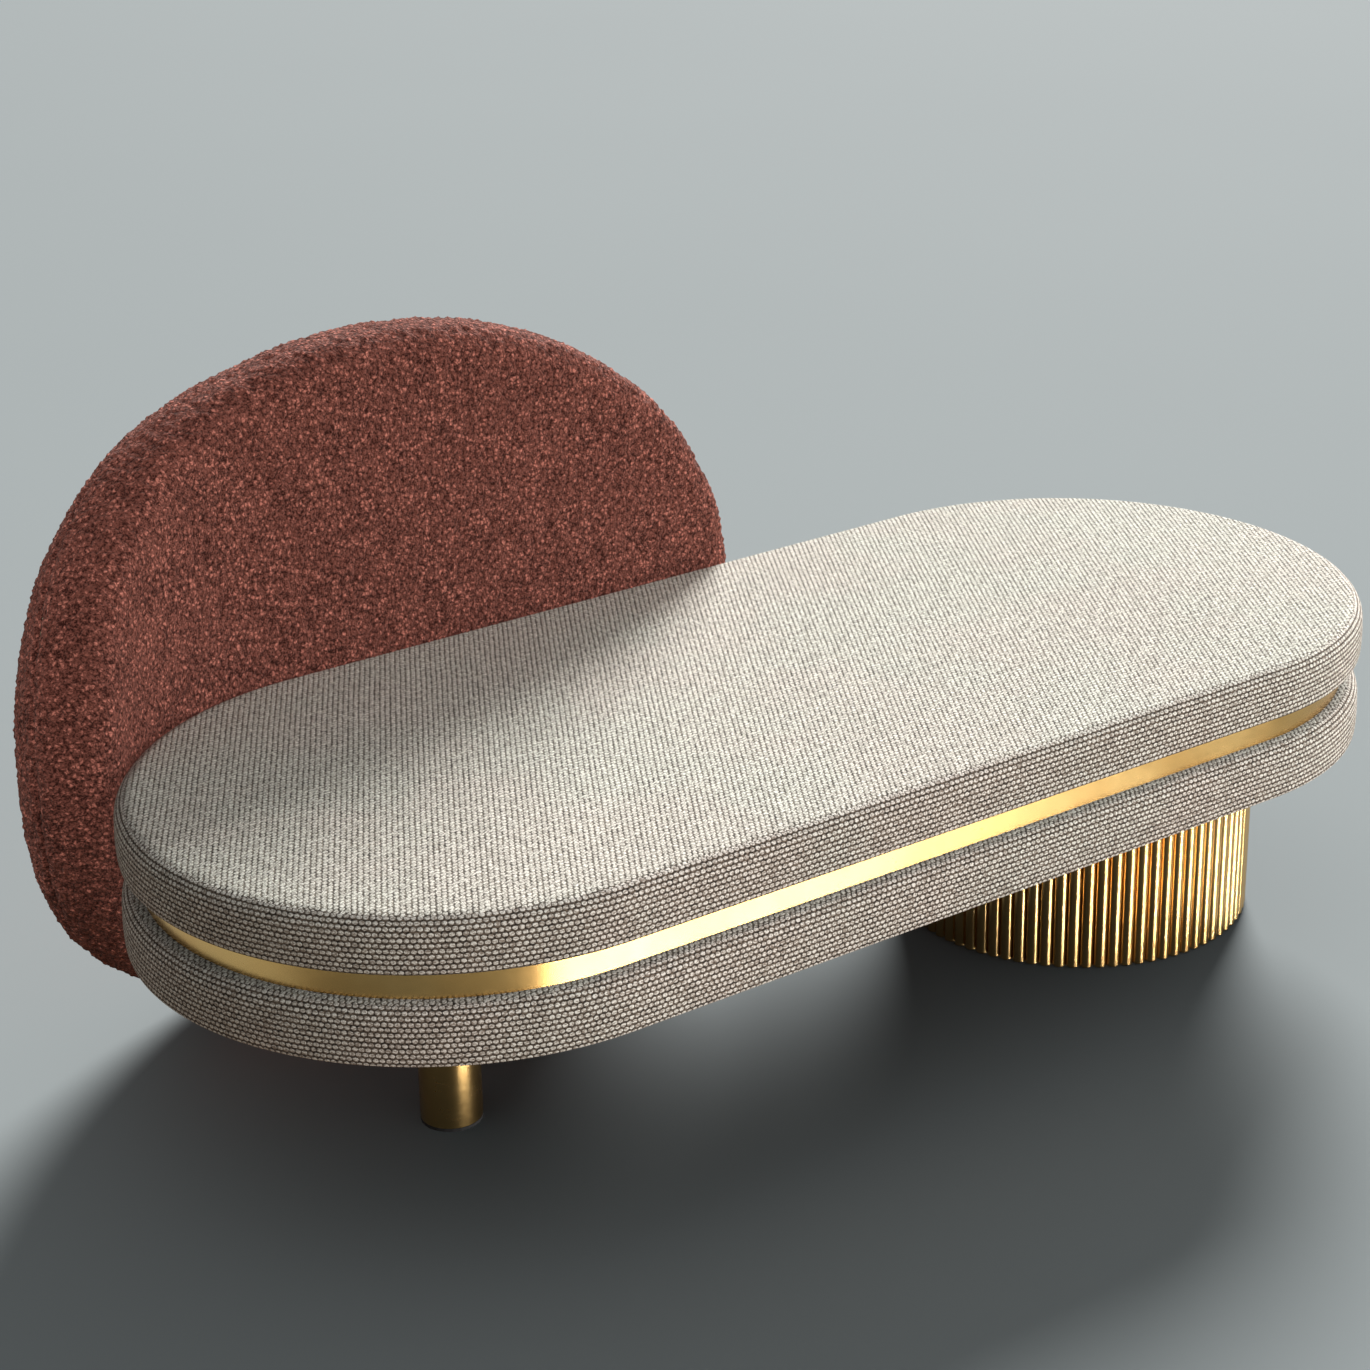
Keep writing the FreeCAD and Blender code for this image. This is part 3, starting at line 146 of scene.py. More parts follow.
def pick(kind, test):
    """In edit mode, select the vertices, edges or faces whose vertices all pass a test of their place."""
    mesh = bpy.context.object.data
    bpy.ops.mesh.select_mode(type=kind)
    bpy.ops.mesh.select_all(action="DESELECT")
    shape = bmesh.from_edit_mesh(mesh)
    inside = {corner.index for corner in shape.verts if test(corner.co)}
    parts = {"VERT": shape.verts, "EDGE": shape.edges, "FACE": shape.faces}[kind]
    for part in parts:
        corners = [part] if kind == "VERT" else part.verts
        if all(corner.index in inside for corner in corners):
            part.select_set(True)
    shape.select_flush_mode()
    bmesh.update_edit_mesh(mesh)


def apply_modifier(piece, kind, **settings):
    """Add one modifier with its settings and apply it."""
    take(piece)
    modifier = piece.modifiers.new(kind.lower(), kind)
    for name, value in settings.items():
        setattr(modifier, name, value)
    bpy.ops.object.modifier_apply(modifier=modifier.name)


def corners_of(piece):
    """The places of a mesh's vertices, as rows of x, y, z."""
    places = np.empty(len(piece.data.vertices) * 3)
    piece.data.vertices.foreach_get("co", places)
    return places.reshape(-1, 3)


def move_corners(piece, places):
    piece.data.vertices.foreach_set("co", np.asarray(places, float).ravel())
    piece.data.update()


def tell(piece):
    low, high = corners_of(piece).min(0), corners_of(piece).max(0)
    print(piece.name, len(piece.data.polygons), "faces", low.round(4), high.round(4))


# %% [markdown]
# ## Shader maths as Python
# A material is a graph of nodes. Making each Math node by itself hides the idea, so a small class wraps a socket and
# gives it Python's operators: `1 - mask` adds one Subtract node. Any other node comes from one method, which takes
# the node's type, its settings and the values or links of its sockets.

# %% Shader helper
class Wire:
    """One output of a shader node."""

    def __init__(self, tree, output=None):
        self.tree = tree
        self.output = output

    def node(self, kind, settings=None, sockets=None, give=0):
        """Add a node. Its settings come first and then its sockets."""
        made = self.tree.nodes.new(kind)
        for name, value in (settings or {}).items():
            setattr(made, name, value)
        for name, value in (sockets or {}).items():
            self.put(made.inputs[name], value)
        return Wire(self.tree, made.outputs[give] if made.outputs else None)

    def put(self, socket, value):
        """Link a wire to a socket, or set its value. A colour is given by three numbers."""
        if isinstance(value, Wire):
            self.tree.links.new(value.output, socket)
        elif socket.type == "RGBA":
            socket.default_value = (*value, 1)
        else:
            socket.default_value = value

    def maths(self, operation, *values):
        return self.node("ShaderNodeMath", {"operation": operation}, dict(enumerate(values)))

    def __add__(self, other):
        return self.maths("ADD", self, other)

    def __radd__(self, other):
        return self.maths("ADD", other, self)

    def __sub__(self, other):
        return self.maths("SUBTRACT", self, other)

    def __rsub__(self, other):
        return self.maths("SUBTRACT", other, self)

    def __mul__(self, other):
        return self.maths("MULTIPLY", self, other)

    def __rmul__(self, other):
        return self.maths("MULTIPLY", other, self)

    def __truediv__(self, other):
        return self.maths("DIVIDE", self, other)

    def __pow__(self, other):
        return self.maths("POWER", self, other)

    def __mod__(self, other):
        return self.maths("FLOORED_MODULO", self, other)

    def __abs__(self):
        return self.maths("ABSOLUTE", self)

    def __lt__(self, other):
        return self.maths("LESS_THAN", self, other)

    def __gt__(self, other):
        return self.maths("GREATER_THAN", self, other)

    def floor(self):
        return self.maths("FLOOR", self)

    def smooth(self, low, high):
        """0 under low, 1 over high, and an S curve between."""
        sockets = {"Value": self, "From Min": low, "From Max": high}
        return self.node("ShaderNodeMapRange", {"interpolation_type": "SMOOTHSTEP"}, sockets)

    def parts(self):
        """The x, y and z of a vector."""
        first = self.node("ShaderNodeSeparateXYZ", None, {"Vector": self})
        return [Wire(self.tree, output) for output in first.output.node.outputs]

    def vector(self, x, y, z):
        """Three values as one vector, in this socket's tree."""
        return self.node("ShaderNodeCombineXYZ", None, {"X": x, "Y": y, "Z": z})

    def stretched(self, x, y, z):
        """The same coordinates with each axis multiplied."""
        return self.node("ShaderNodeVectorMath", {"operation": "MULTIPLY"}, {0: self, 1: (x, y, z)})

    def shifted(self, offset):
        """The same coordinates moved by a vector."""
        return self.node("ShaderNodeVectorMath", {"operation": "ADD"}, {0: self, 1: offset})

    def noise(self, scale, detail=2.0, roughness=0.5):
        """Soft noise about a half. Its blotches are as long as 1 divided by the scale."""
        sockets = {"Vector": self, "Scale": scale, "Detail": detail, "Roughness": roughness}
        return self.node("ShaderNodeTexNoise", None, sockets)

    def cells(self, scale, give="Distance", randomness=1.0):
        """Scattered cells: the distance to the middle of each, or its own colour."""
        sockets = {"Vector": self, "Scale": scale, "Randomness": randomness}
        return self.node("ShaderNodeTexVoronoi", None, sockets, give)

    def blend(self, first, second):
        """Mix two colours, with this socket as the share of the second."""
        return self.node("ShaderNodeMix", {"data_type": "RGBA"}, {0: self, 6: first, 7: second}, 2)

    def tinting(self, colour):
        """A colour multiplied by this colour."""
        settings = {"data_type": "RGBA", "blend_type": "MULTIPLY"}
        return self.node("ShaderNodeMix", settings, {0: 1.0, 6: colour, 7: self}, 2)

    def bump(self, distance):
        """A normal tilted by this height, which is the distance in metres where it is 1."""
        return self.node("ShaderNodeBump", None, {"Height": self, "Distance": distance, "Strength": 1.0})


# %% [markdown]
# A finish is one material. It starts with a Principled BSDF, whose constants are set straight on its sockets. It
# also gives the coordinates that patterns read: the object's own place, or the cover's cloth laid flat, in metres.

# %% Finish helper
class Finish:
    """A material with a Principled BSDF to feed."""

    def __init__(self, name, **constants):
        self.name = name
        self.material = bpy.data.materials.new(name)
        self.material.use_nodes = True
        tree = self.material.node_tree
        tree.nodes.clear()
        self.start = Wire(tree)
        self.surface = self.start.node("ShaderNodeBsdfPrincipled")
        self.start.node("ShaderNodeOutputMaterial", None, {"Surface": self.surface})
        self.feed(**constants)

    def feed(self, **values):
        """Set or link sockets of the Principled BSDF; an underscore stands for a space."""
        for name, value in values.items():
            self.start.put(self.surface.output.node.inputs[name.replace("_", " ")], value)

    def place(self):
        """Object coordinates, which are the place in metres."""
        return self.start.node("ShaderNodeTexCoord", None, None, "Object")

    def cloth(self):
        """The place on the cloth laid flat, in metres."""
        return self.start.node("ShaderNodeUVMap", {"uv_map": "cloth"})

    def facing(self):
        """The way that the surface faces."""
        return self.start.node("ShaderNodeNewGeometry", None, None, "Normal")


def wear(piece, finish):
    """Give every face of a piece one finish."""
    piece.data.materials.clear()
    piece.data.materials.append(finish.material)


def shade(r, g, b):
    """A colour named by its 0 to 255 screen values, as the linear numbers that nodes use."""
    return tuple(
        value / 255 / 12.92 if value / 255 <= 0.04045 else ((value / 255 + 0.055) / 1.055) ** 2.4
        for value in (r, g, b)
    )


# %% [markdown]
# ## The woven cloth
# The pads wear one ribbed cloth. Rows lie 6.25 mm apart and stitches 7.4 mm apart in a row, and each row starts half
# a stitch further on, so that the stitches join into ribs that cross the seat at 60 degrees. On the flat top the
# ribs show most. On the boxing, pulled tight over the foam's side, the rows part and each stitch stands alone as a
# bead. A mesh attribute, boxed, is 0 on the top and 1 on the boxing, and leads each value that holds it from one look
# to the other.

# %% Rows and ribs of the weave
ROW_STEP = 0.00625
STITCH_STEP = 0.00737
STITCHES_IN_REPEAT = 3


def stitch_grid(finish, boxed):
    """The number of each place's row and rib, and how far it is from the middle of its stitch, from -0.5 to 0.5."""
    wander = finish.place().noise(9.0, 1.0)
    across, along, _ = finish.cloth().parts()
    rows = along / ROW_STEP + (wander - 0.5) * 0.3
    row = rows.floor()
    in_row = rows - row - 0.5
    ribs = across / STITCH_STEP - rows * 0.5 + in_row * (0.26 + 0.24 * boxed) + (wander - 0.5) * 0.4
    rib = ribs.floor()
    in_rib = ribs - rib - 0.5
    return row, in_row, rib, in_rib


print("rows", ROW_STEP * 1000, "mm apart, stitches", STITCH_STEP * 1000, "mm apart")

# %% [markdown]
# A stitch is a lens of yarn, high in its middle and low in the gaps. On the top a soft noise makes the gaps between
# ribs wider and narrower. The whole numbers of the row and the rib give each stitch its own brightness, every third
# one on the boxing is brighter, and a fine noise is the fibres. Gaps are painted dark, as the shade that falls between
# the stitches, with fibres in it, and how dark varies at random. Last, a broad mottle of faint warm and cool tints
# keeps the large surface from looking printed.

# %% Woven finish
def woven_finish():
    finish = Finish("woven_cover", Roughness=0.85, Sheen_Weight=0.1, Sheen_Roughness=0.6, Specular_IOR_Level=0.15)
    place = finish.place()
    boxed = finish.start.node("ShaderNodeAttribute", {"attribute_name": "boxed"}, None, "Fac")
    row, in_row, rib, in_rib = stitch_grid(finish, boxed)
    loose = finish.cloth().stretched(120.0, 120.0, 1.0).noise(1.0, 1.0).smooth(0.3, 0.7)
    rib_gap = 0.7 + 0.5 * boxed + loose * (1.5 - 1.5 * boxed)
    row_gap = 0.85 + 0.75 * boxed
    lens = 1 - abs(in_rib * 2.0) ** 2.0 * rib_gap - abs(in_row * 2.0) ** 2.0 * row_gap
    yarn = lens.smooth(-0.4, 0.5)
    bright = ((rib + row * 2) % STITCHES_IN_REPEAT) < 0.5
    chance = finish.start.node(
        "ShaderNodeTexWhiteNoise", {"noise_dimensions": "2D"}, {"Vector": place.vector(rib, row, 0.0)}
    )
    fibres = finish.cloth().stretched(270.0, 520.0, 1.0).noise(1.0, 2.0, 0.6).smooth(0.41, 0.59)
    even = 0.64 - 0.06 * boxed + chance * (0.36 + 0.14 * boxed)
    strength = yarn * (even + bright * (0.42 * boxed)) * (0.22 + 0.98 * fibres + 0.02 * boxed)
    # Painted shade in the gaps: this mix runs from the darkest painted shade at 0 to a lighter gap colour at 1.
    gap_shade_mix = (chance * 0.45 + fibres * 0.55).smooth(0.1, 0.9)
    # On the boxing the gap and ground colours are painted warmer than on the top, as warm bounced light on the pads'
    # sides.
    gap = gap_shade_mix.blend(shade(46, 38, 31), boxed.blend(shade(158, 149, 134), shade(122, 106, 91)))
    ground = yarn.blend(gap, boxed.blend(shade(150, 142, 129), shade(134, 114, 98)))
    yarn_colour = boxed.blend(shade(255, 252, 243), shade(255, 250, 242))
    cloth = strength.blend(ground, yarn_colour)
    mottle = place.noise(5.5, 2.0).smooth(0.36, 0.64)
    cloth = mottle.blend((1.0, 0.975, 0.955), (0.975, 0.995, 0.97)).tinting(cloth)
    height = yarn * (0.85 + 0.15 * bright) + fibres * 0.12
    finish.feed(Base_Color=cloth, Normal=(height * (1 + boxed)).bump(0.0007))
    return finish


woven = woven_finish()
print(woven.name, len(woven.material.node_tree.nodes), "nodes")

# %% [markdown]
# ## Covers of the pads
# An upholsterer cuts a top panel and a long boxing strip. The panel comes over a rolled edge down to a seam, and the
# strip goes from the seam down and is turned under. Both follow the same stadium, so they are made the same way.
# Half a circle primitive is drawn into rings by extrude and resize about the middle of the round end. Its open ends
# are then drawn along the straight side, and a mirror adds the other half.

# %% Rings of a stadium
ROUND_STEPS = 192
STRAIGHT_STEPS = 32


def stadium(name, profile, round_steps=ROUND_STEPS, straight_steps=STRAIGHT_STEPS):
    """A surface that carries a profile, a list of radii and heights, round a stadium."""
    radius, height = profile[0]
    piece = begin(
        name, bpy.ops.mesh.primitive_circle_add,
        vertices=round_steps, radius=radius, location=(-HALF_STRAIGHT, PAD_MIDDLE_Y, height),
    )
    bpy.ops.object.mode_set(mode="EDIT")
    pick("VERT", lambda spot: spot.x > -HALF_STRAIGHT + SAME_PLACE)
    bpy.ops.mesh.delete(type="VERT")
    bpy.ops.mesh.select_mode(type="EDGE")
    bpy.ops.mesh.select_all(action="SELECT")
    for next_radius, next_height in profile[1:]:
        bpy.ops.mesh.extrude_edges_move(TRANSFORM_OT_translate={"value": (0, 0, next_height - height)})
        share = next_radius / radius
        bpy.ops.transform.resize(value=(share, share, 1), center_override=LEFT_CENTRE)
        radius, height = next_radius, next_height
    bpy.ops.mesh.select_all(action="SELECT")
    bpy.ops.mesh.remove_doubles(threshold=MERGE_WITHIN)
    pick("EDGE", lambda spot: spot.x > -HALF_STRAIGHT - MERGE_WITHIN)
    for _ in range(straight_steps):
        bpy.ops.mesh.extrude_edges_move(TRANSFORM_OT_translate={"value": (HALF_STRAIGHT / straight_steps, 0, 0)})
    apply_modifier(piece, "MIRROR", merge_threshold=SAME_PLACE)
    return piece


def looks_forward(faces):
    """The foremost face points to the front."""
    return min(faces, key=lambda face: face.center.y).normal.y < 0


def looks_up(faces):
    """The face in the middle, seen from above, points up."""
    return min(faces, key=lambda face: face.center.xy.length).normal.z > 0


def face_out(piece, test):
    """Make faces agree, and turn them all over if they fail the test."""
    take(piece, "EDIT")
    bpy.ops.mesh.select_all(action="SELECT")
    bpy.ops.mesh.normals_make_consistent(inside=False)
    bpy.ops.object.mode_set(mode="OBJECT")
    if not test(piece.data.polygons):
        bpy.ops.object.mode_set(mode="EDIT")
        bpy.ops.mesh.flip_normals()
        bpy.ops.object.mode_set(mode="OBJECT")


print("stadium of", ROUND_STEPS, "steps round its ends and", 4 * STRAIGHT_STEPS, "along its sides")

# %% [markdown]
# The cloth is laid out flat in metres, so that its rows keep their spacing. On the flat of a top panel the rows run
# straight along the seat. On the rolled edge and the boxing they follow the pad's edge: one axis is the way round the
# stadium, the other the height or, on the roll, the length of the arc. The way round is scaled a little, so that it
# holds a whole number of repeats and starts out of sight behind the backrest.

# %% The way round a pad
def outward(places):
    """How far each vertex is from the pad's middle line."""
    along = np.clip(places[:, 0], -HALF_STRAIGHT, HALF_STRAIGHT)
    return np.hypot(places[:, 0] - along, places[:, 1] - PAD_MIDDLE_Y)


def way_round(places):
    """The way round the stadium to each vertex, and the whole way round, in metres of cloth."""
    x, y = places[:, 0], places[:, 1] - PAD_MIDDLE_Y
    straight, round_end = 2 * HALF_STRAIGHT, math.pi * PAD_RADIUS
    around_left = np.arctan2(y, x + HALF_STRAIGHT) % (2 * math.pi) - math.pi / 2
    around_right = np.arctan2(y, x - HALF_STRAIGHT) + math.pi / 2
    way = np.where(x < -HALF_STRAIGHT, PAD_RADIUS * around_left, 0)
    way = np.where((abs(x) <= HALF_STRAIGHT) & (y < 0), round_end + x + HALF_STRAIGHT, way)
    way = np.where(x > HALF_STRAIGHT, round_end + straight + PAD_RADIUS * around_right, way)
    way = np.where((abs(x) <= HALF_STRAIGHT) & (y >= 0), 2 * round_end + straight + HALF_STRAIGHT - x, way)
    whole = 2 * (straight + round_end)
    repeat = STITCH_STEP * STITCHES_IN_REPEAT
    whole_cloth = round(whole / repeat) * repeat
    return way * (whole_cloth / whole), whole_cloth


start_of_cloth = np.array([(-HALF_STRAIGHT, PAD_MIDDLE_Y + PAD_RADIUS, 0.0)])
print("once round is", round(way_round(start_of_cloth)[1], 4), "m of cloth")

# %% [markdown]
# Every face has its own corners in the layout. A face of the flat takes its place as seen from above, and a face of
# the boxing its way round and its height. The one column of faces where the way round starts again would be smeared
# over the whole cloth, so the corners at its start are moved to the far end. The rolled edge is boxing up to where it
# has risen by 70 degrees. A side's seam is drawn in by a millimetre.

# %% Unwrapping the covers
SIDE_DRAW = 0.001
ROLL_ENDS = math.radians(70)
HEM_START = 0.01


def face_runs(piece):
    """Where each face's corners start in the list of loops, how many it has, and the vertex of each loop."""
    starts, totals = (np.empty(len(piece.data.polygons), int) for _ in range(2))
    index = np.empty(len(piece.data.loops), int)
    piece.data.polygons.foreach_get("loop_start", starts)
    piece.data.polygons.foreach_get("loop_total", totals)
    piece.data.loops.foreach_get("vertex_index", index)
    return starts, totals, index


def unwrap(piece, heights, rolled=None):
    """Lay a cover out as cloth: all of it as boxing, or only the faces whose vertices are all rolled."""
    places = corners_of(piece)
    way, whole = way_round(places)
    boxed = np.ones(len(places)) if rolled is None else rolled.astype(float)
    starts, totals, index = face_runs(piece)
    cloth = np.stack([way, heights], 1)[index]
    for start, total in zip(starts, totals):
        run = slice(start, start + total)
        if boxed[index[run]].min() < 0.5:
            cloth[run] = places[index[run], :2]
        elif np.ptp(cloth[run, 0]) > whole / 2:
            cloth[run, 0] += np.where(cloth[run, 0] < whole / 2, whole, 0)
    layer = piece.data.uv_layers.new(name="cloth")
    layer.data.foreach_set("uv", cloth.ravel())
    marks = piece.data.attributes.new("boxed", "FLOAT", "POINT")
    marks.data.foreach_set("value", boxed)


def unwrap_panel(piece, seam):
    """The flat of a top panel is laid out as seen from above, and its rolled edge as boxing."""
    places = corners_of(piece)
    distance = outward(places)
    past = np.maximum(distance - (PAD_RADIUS - SIDE_DRAW - EDGE_ROUND), 0)
    rise = np.arctan2(np.maximum(places[:, 2] - seam, 0), past)
    unwrap(piece, seam + EDGE_ROUND * rise, rise < ROLL_ENDS)


def unwrap_boxing(piece):
    """The cloth that is turned under goes on below the boxing's lower edge."""
    places = corners_of(piece)
    under = np.maximum(PAD_RADIUS - HEM_START - outward(places), 0)
    unwrap(piece, places[:, 2] - under)


# %% [markdown]
# A profile is a list of radii and heights. Both profiles end in a fold at the seam, and the two folds cross just
# under the surface, so that the seam is a fine groove that shows no foam. The boxing bellies out a little between its
# seams, and its lower edge is rounded where it turns under. The panel's edge is a quarter round, and its top rises to
# the crown in smaller and smaller steps. All radii are given as a distance in from the pad's outline.

# %% Profiles of the covers
FOLD_DEEP = 0.006
HEM_WIDE = 0.06
BELLY_STEPS, ROLL_STEPS, CROWN_STEPS = 8, 10, 17


def from_outline(*insets_and_heights):
    return [(PAD_RADIUS - inset, height) for inset, height in insets_and_heights]


def seam_fold(seam, side):
    """The fold seen from one side of the seam: side is 1 above it and -1 below."""
    return from_outline(
        (SIDE_DRAW, seam + side * 0.0022), (SIDE_DRAW + 0.0001, seam + side * 0.0006),
        (SIDE_DRAW + 0.0006, seam - side * 0.0006), (SIDE_DRAW + FOLD_DEEP, seam - side * 0.0008),
    )


def boxing_profile(low, seam):
    """From the end of the hem, round the lower edge and up over the belly to the fold."""
    hem = from_outline((HEM_WIDE, low + 0.0008), (HEM_WIDE - 0.004, low), (0.03, low))
    turn = from_outline((0.006, low), (0.0022, low + 0.0006), (0.0011, low + 0.0026))
    belly = []
    for step in range(1, BELLY_STEPS):
        from_middle = 2 * step / BELLY_STEPS - 1
        height = low + (seam - low) * (0.06 + 0.88 * step / BELLY_STEPS)
        belly += from_outline((SIDE_DRAW * from_middle ** 2, height))
    return hem + turn + belly + seam_fold(seam, -1)


def panel_profile(seam, crown):
    """From the fold, round the rolled edge and over the crown to the middle of the pad."""
    roll = []
    for step in range(2, ROLL_STEPS + 1):
        angle = math.pi / 2 * step / ROLL_STEPS
        inset = SIDE_DRAW + EDGE_ROUND * (1 - math.cos(angle))
        roll += from_outline((inset, seam + EDGE_ROUND * math.sin(angle)))
    flat_edge, top = roll[-1]
    rings = []
    for step in range(1, CROWN_STEPS + 1):
        out = 1 - step / CROWN_STEPS
        rings.append((flat_edge * out, top + crown * (1 - out ** 2)))
    return seam_fold(seam, 1)[::-1] + roll + rings


print(len(boxing_profile(SEAT_LOW, SEAT_SEAM)), "rings in a boxing,", len(panel_profile(SEAT_SEAM, 0)), "in a panel")

# %% [markdown]
# Each cover is turned to face outwards, laid out as cloth, made smooth by one level of subdivision, and given its
# thickness.

# %% The four woven covers
CLOTH_THICK = 0.0015


def woven_cover(name, profile, seam):
    """A top panel, where the height of its seam is given, or a boxing."""
    piece = stadium(name, profile)
    if seam is None:
        face_out(piece, looks_forward)
        unwrap_boxing(piece)
    else:
        face_out(piece, looks_up)
        unwrap_panel(piece, seam)
    apply_modifier(piece, "SUBSURF", levels=1, render_levels=1)
    apply_modifier(piece, "SOLIDIFY", thickness=CLOTH_THICK, offset=-1)
    bpy.ops.object.shade_smooth()
    wear(piece, woven)
    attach(piece, "root")
    tell(piece)
    return piece


for name, node, profile, seam in (
    ("seat_top_panel", "seat_top_cover", panel_profile(SEAT_SEAM, SEAT_CROWN), SEAT_SEAM),
    ("seat_boxing", "seat_side_cover", boxing_profile(SEAT_LOW, SEAT_SEAM), None),
    ("base_top_panel", "base_top_cover", panel_profile(BASE_SEAM, 0.0), BASE_SEAM),
    ("base_boxing", "base_side_cover", boxing_profile(BASE_LOW, BASE_SEAM), None),
):
    cover = woven_cover(name, profile, seam)
    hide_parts(node)

# %% [markdown]
# ## Brass
# The band, the leg and the drum are brass. The band and leg are satin: faint wiped scratches and cloudy patches
# change how rough they are, and so how wide their highlights spread. The drum's ribs are brighter and smoother. A
# finish takes its two colours, its roughness, how much the scratches change that, and the depth of its ripples.

# %% Brass finishes
def brass_finish(name, colour, worn, roughness, scratches, ripples):
    finish = Finish(name, Metallic=1.0)
    place = finish.place()
    clouds = place.noise(9.0, 3.0)
    slanted = place.shifted(place.vector(place.parts()[2] * 0.8, 0.0, 0.0))
    hairs = slanted.stretched(60.0, 60.0, 200.0).noise(1.0, 3.0, 0.7)
    rough = roughness + (clouds - 0.5) * 0.1 + (hairs - 0.5) * scratches
    finish.feed(
        Base_Color=clouds.smooth(0.3, 0.7).blend(worn, colour), Roughness=rough,
        Normal=place.noise(70.0, 2.0).bump(ripples),
    )
    return finish


satin_brass = brass_finish("satin_brass", (0.88, 0.56, 0.21), (0.82, 0.48, 0.16), 0.24, 0.12, 0.00012)
fluted_brass = brass_finish("fluted_brass", (0.88, 0.57, 0.23), (0.82, 0.49, 0.18), 0.2, 0.06, 0.00002)
print(satin_brass.name, "and", fluted_brass.name)

# %% [markdown]
# The brass band is a strip that stands on edge in the gap between the pads. It is one more stadium, and its profile
# goes all the way round, so the strip is closed. Its upper edge is rounded a little, to catch the light.

# %% The brass band
BAND_WALL = 0.0015
band_low, band_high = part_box("brass_band")
band_face = (band_high.y - band_low.y) / 2
band_back = band_face - BAND_WALL
band_profile = [
    (band_back, band_low.z),
    (band_face, band_low.z),
    (band_face, (band_low.z + band_high.z) / 2),
    (band_face, band_high.z - 0.0006),
    (band_face - 0.0004, band_high.z - 0.0001),
    (band_back, band_high.z),
    (band_back, band_low.z),
]
band = stadium("band_strip", band_profile, round_steps=256, straight_steps=8)
take(band, "EDIT")
bpy.ops.mesh.select_all(action="SELECT")
bpy.ops.mesh.remove_doubles(threshold=MERGE_WITHIN)
face_out(band, looks_forward)
bpy.ops.object.shade_smooth_by_angle(angle=math.radians(35))
wear(band, satin_brass)
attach(band, "root")
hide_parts("brass_band")
tell(band)

# %% [markdown]
# The drum's skin is a ring of half round ribs. One rib is made from a cylinder: a plane cuts away the half that faces
# the drum, a little past its middle, and its ends are bevelled, which gives the scalloped rim at the floor. Spin then
# copies it round the drum, and a plain cylinder with a wall closes the ring behind the ribs.

# %% The fluted drum
RIBS = 82
RIB_RADIUS = 0.00895
RIB_OVERLAP = 0.0005
RIB_END_ROUND = 0.002
SKIN_WALL = 0.003
skin_low, skin_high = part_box("drum_skin")
drum_middle = (skin_low + skin_high) / 2
rib_circle = (skin_high.x - skin_low.x) / 2 - RIB_RADIUS
drum = begin(
    "drum_ribs", bpy.ops.mesh.primitive_cylinder_add, vertices=28, radius=RIB_RADIUS,
    depth=skin_high.z - skin_low.z, location=(drum_middle.x + rib_circle, drum_middle.y, drum_middle.z),
)
bpy.ops.object.mode_set(mode="EDIT")
bpy.ops.mesh.select_all(action="SELECT")
bpy.ops.mesh.bisect(
    plane_co=(drum_middle.x + rib_circle - RIB_OVERLAP, 0, 0), plane_no=(1, 0, 0), clear_inner=True, use_fill=True,
)
for end in (skin_low.z, skin_high.z):
    pick("EDGE", lambda spot: abs(spot.z - end) < SAME_PLACE)
    bpy.ops.mesh.bevel(offset=RIB_END_ROUND, segments=3, profile=0.5)
bpy.ops.mesh.select_all(action="SELECT")
bpy.ops.mesh.normals_make_consistent(inside=False)
bpy.ops.mesh.spin(
    steps=RIBS - 1, dupli=True, angle=2 * math.pi * (RIBS - 1) / RIBS, center=drum_middle, axis=(0, 0, 1),
)
bpy.ops.mesh.select_all(action="DESELECT")
bpy.ops.mesh.primitive_cylinder_add(
    vertices=2 * RIBS, radius=rib_circle, depth=skin_high.z - skin_low.z - 2 * RIB_END_ROUND, location=drum_middle,
    end_fill_type="NOTHING",
)
bpy.ops.mesh.solidify(thickness=SKIN_WALL)
take(drum)
bpy.ops.object.shade_smooth_by_angle(angle=math.radians(40))
wear(drum, fluted_brass)
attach(drum, "root")
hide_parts("drum_skin")
tell(drum)

# %% [markdown]
# The leg is a plain tube. Both end faces are inset by the wall and pushed in, so that the wall shows from below, and
# both rims are bevelled.

# %% The leg
LEG_WALL = 0.003
LEG_MOUTH_DEEP = 0.012
LEG_RIM_ROUND = 0.0008
tube_low, tube_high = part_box("leg_tube")
tube_middle = (tube_low + tube_high) / 2
leg = begin(
    "leg_round_tube", bpy.ops.mesh.primitive_cylinder_add, vertices=128, radius=(tube_high.x - tube_low.x) / 2,
    depth=tube_high.z - tube_low.z, location=tube_middle,
)
bpy.ops.object.mode_set(mode="EDIT")
for end in (tube_low.z, tube_high.z):
    pick("FACE", lambda spot: abs(spot.z - end) < SAME_PLACE)
    bpy.ops.mesh.inset(thickness=LEG_WALL)
    inwards = math.copysign(LEG_MOUTH_DEEP, tube_middle.z - end)
    bpy.ops.mesh.extrude_region_move(TRANSFORM_OT_translate={"value": (0, 0, inwards)})
    pick("EDGE", lambda spot: abs(spot.z - end) < SAME_PLACE)
    bpy.ops.mesh.bevel(offset=LEG_RIM_ROUND, segments=2, profile=0.5)
bpy.ops.object.mode_set(mode="OBJECT")
bpy.ops.object.shade_smooth_by_angle(angle=math.radians(35))
wear(leg, satin_brass)
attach(leg, "root")
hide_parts("leg_tube")
tell(leg)

# %% [markdown]
# ## The backrest
# The backrest is a thick board of foam with an elliptical outline, soft at its rim, bent round the left end of the
# seat. It is modelled flat first, as a board that stands on its lower edge, because a flat board is easy to shape:
# an ellipse is extruded backwards row by row, and each row is resized to round the rim. A plane then cuts its foot.
# Lengths are measured from the start of the bend, and depths from the pads' rear edge.

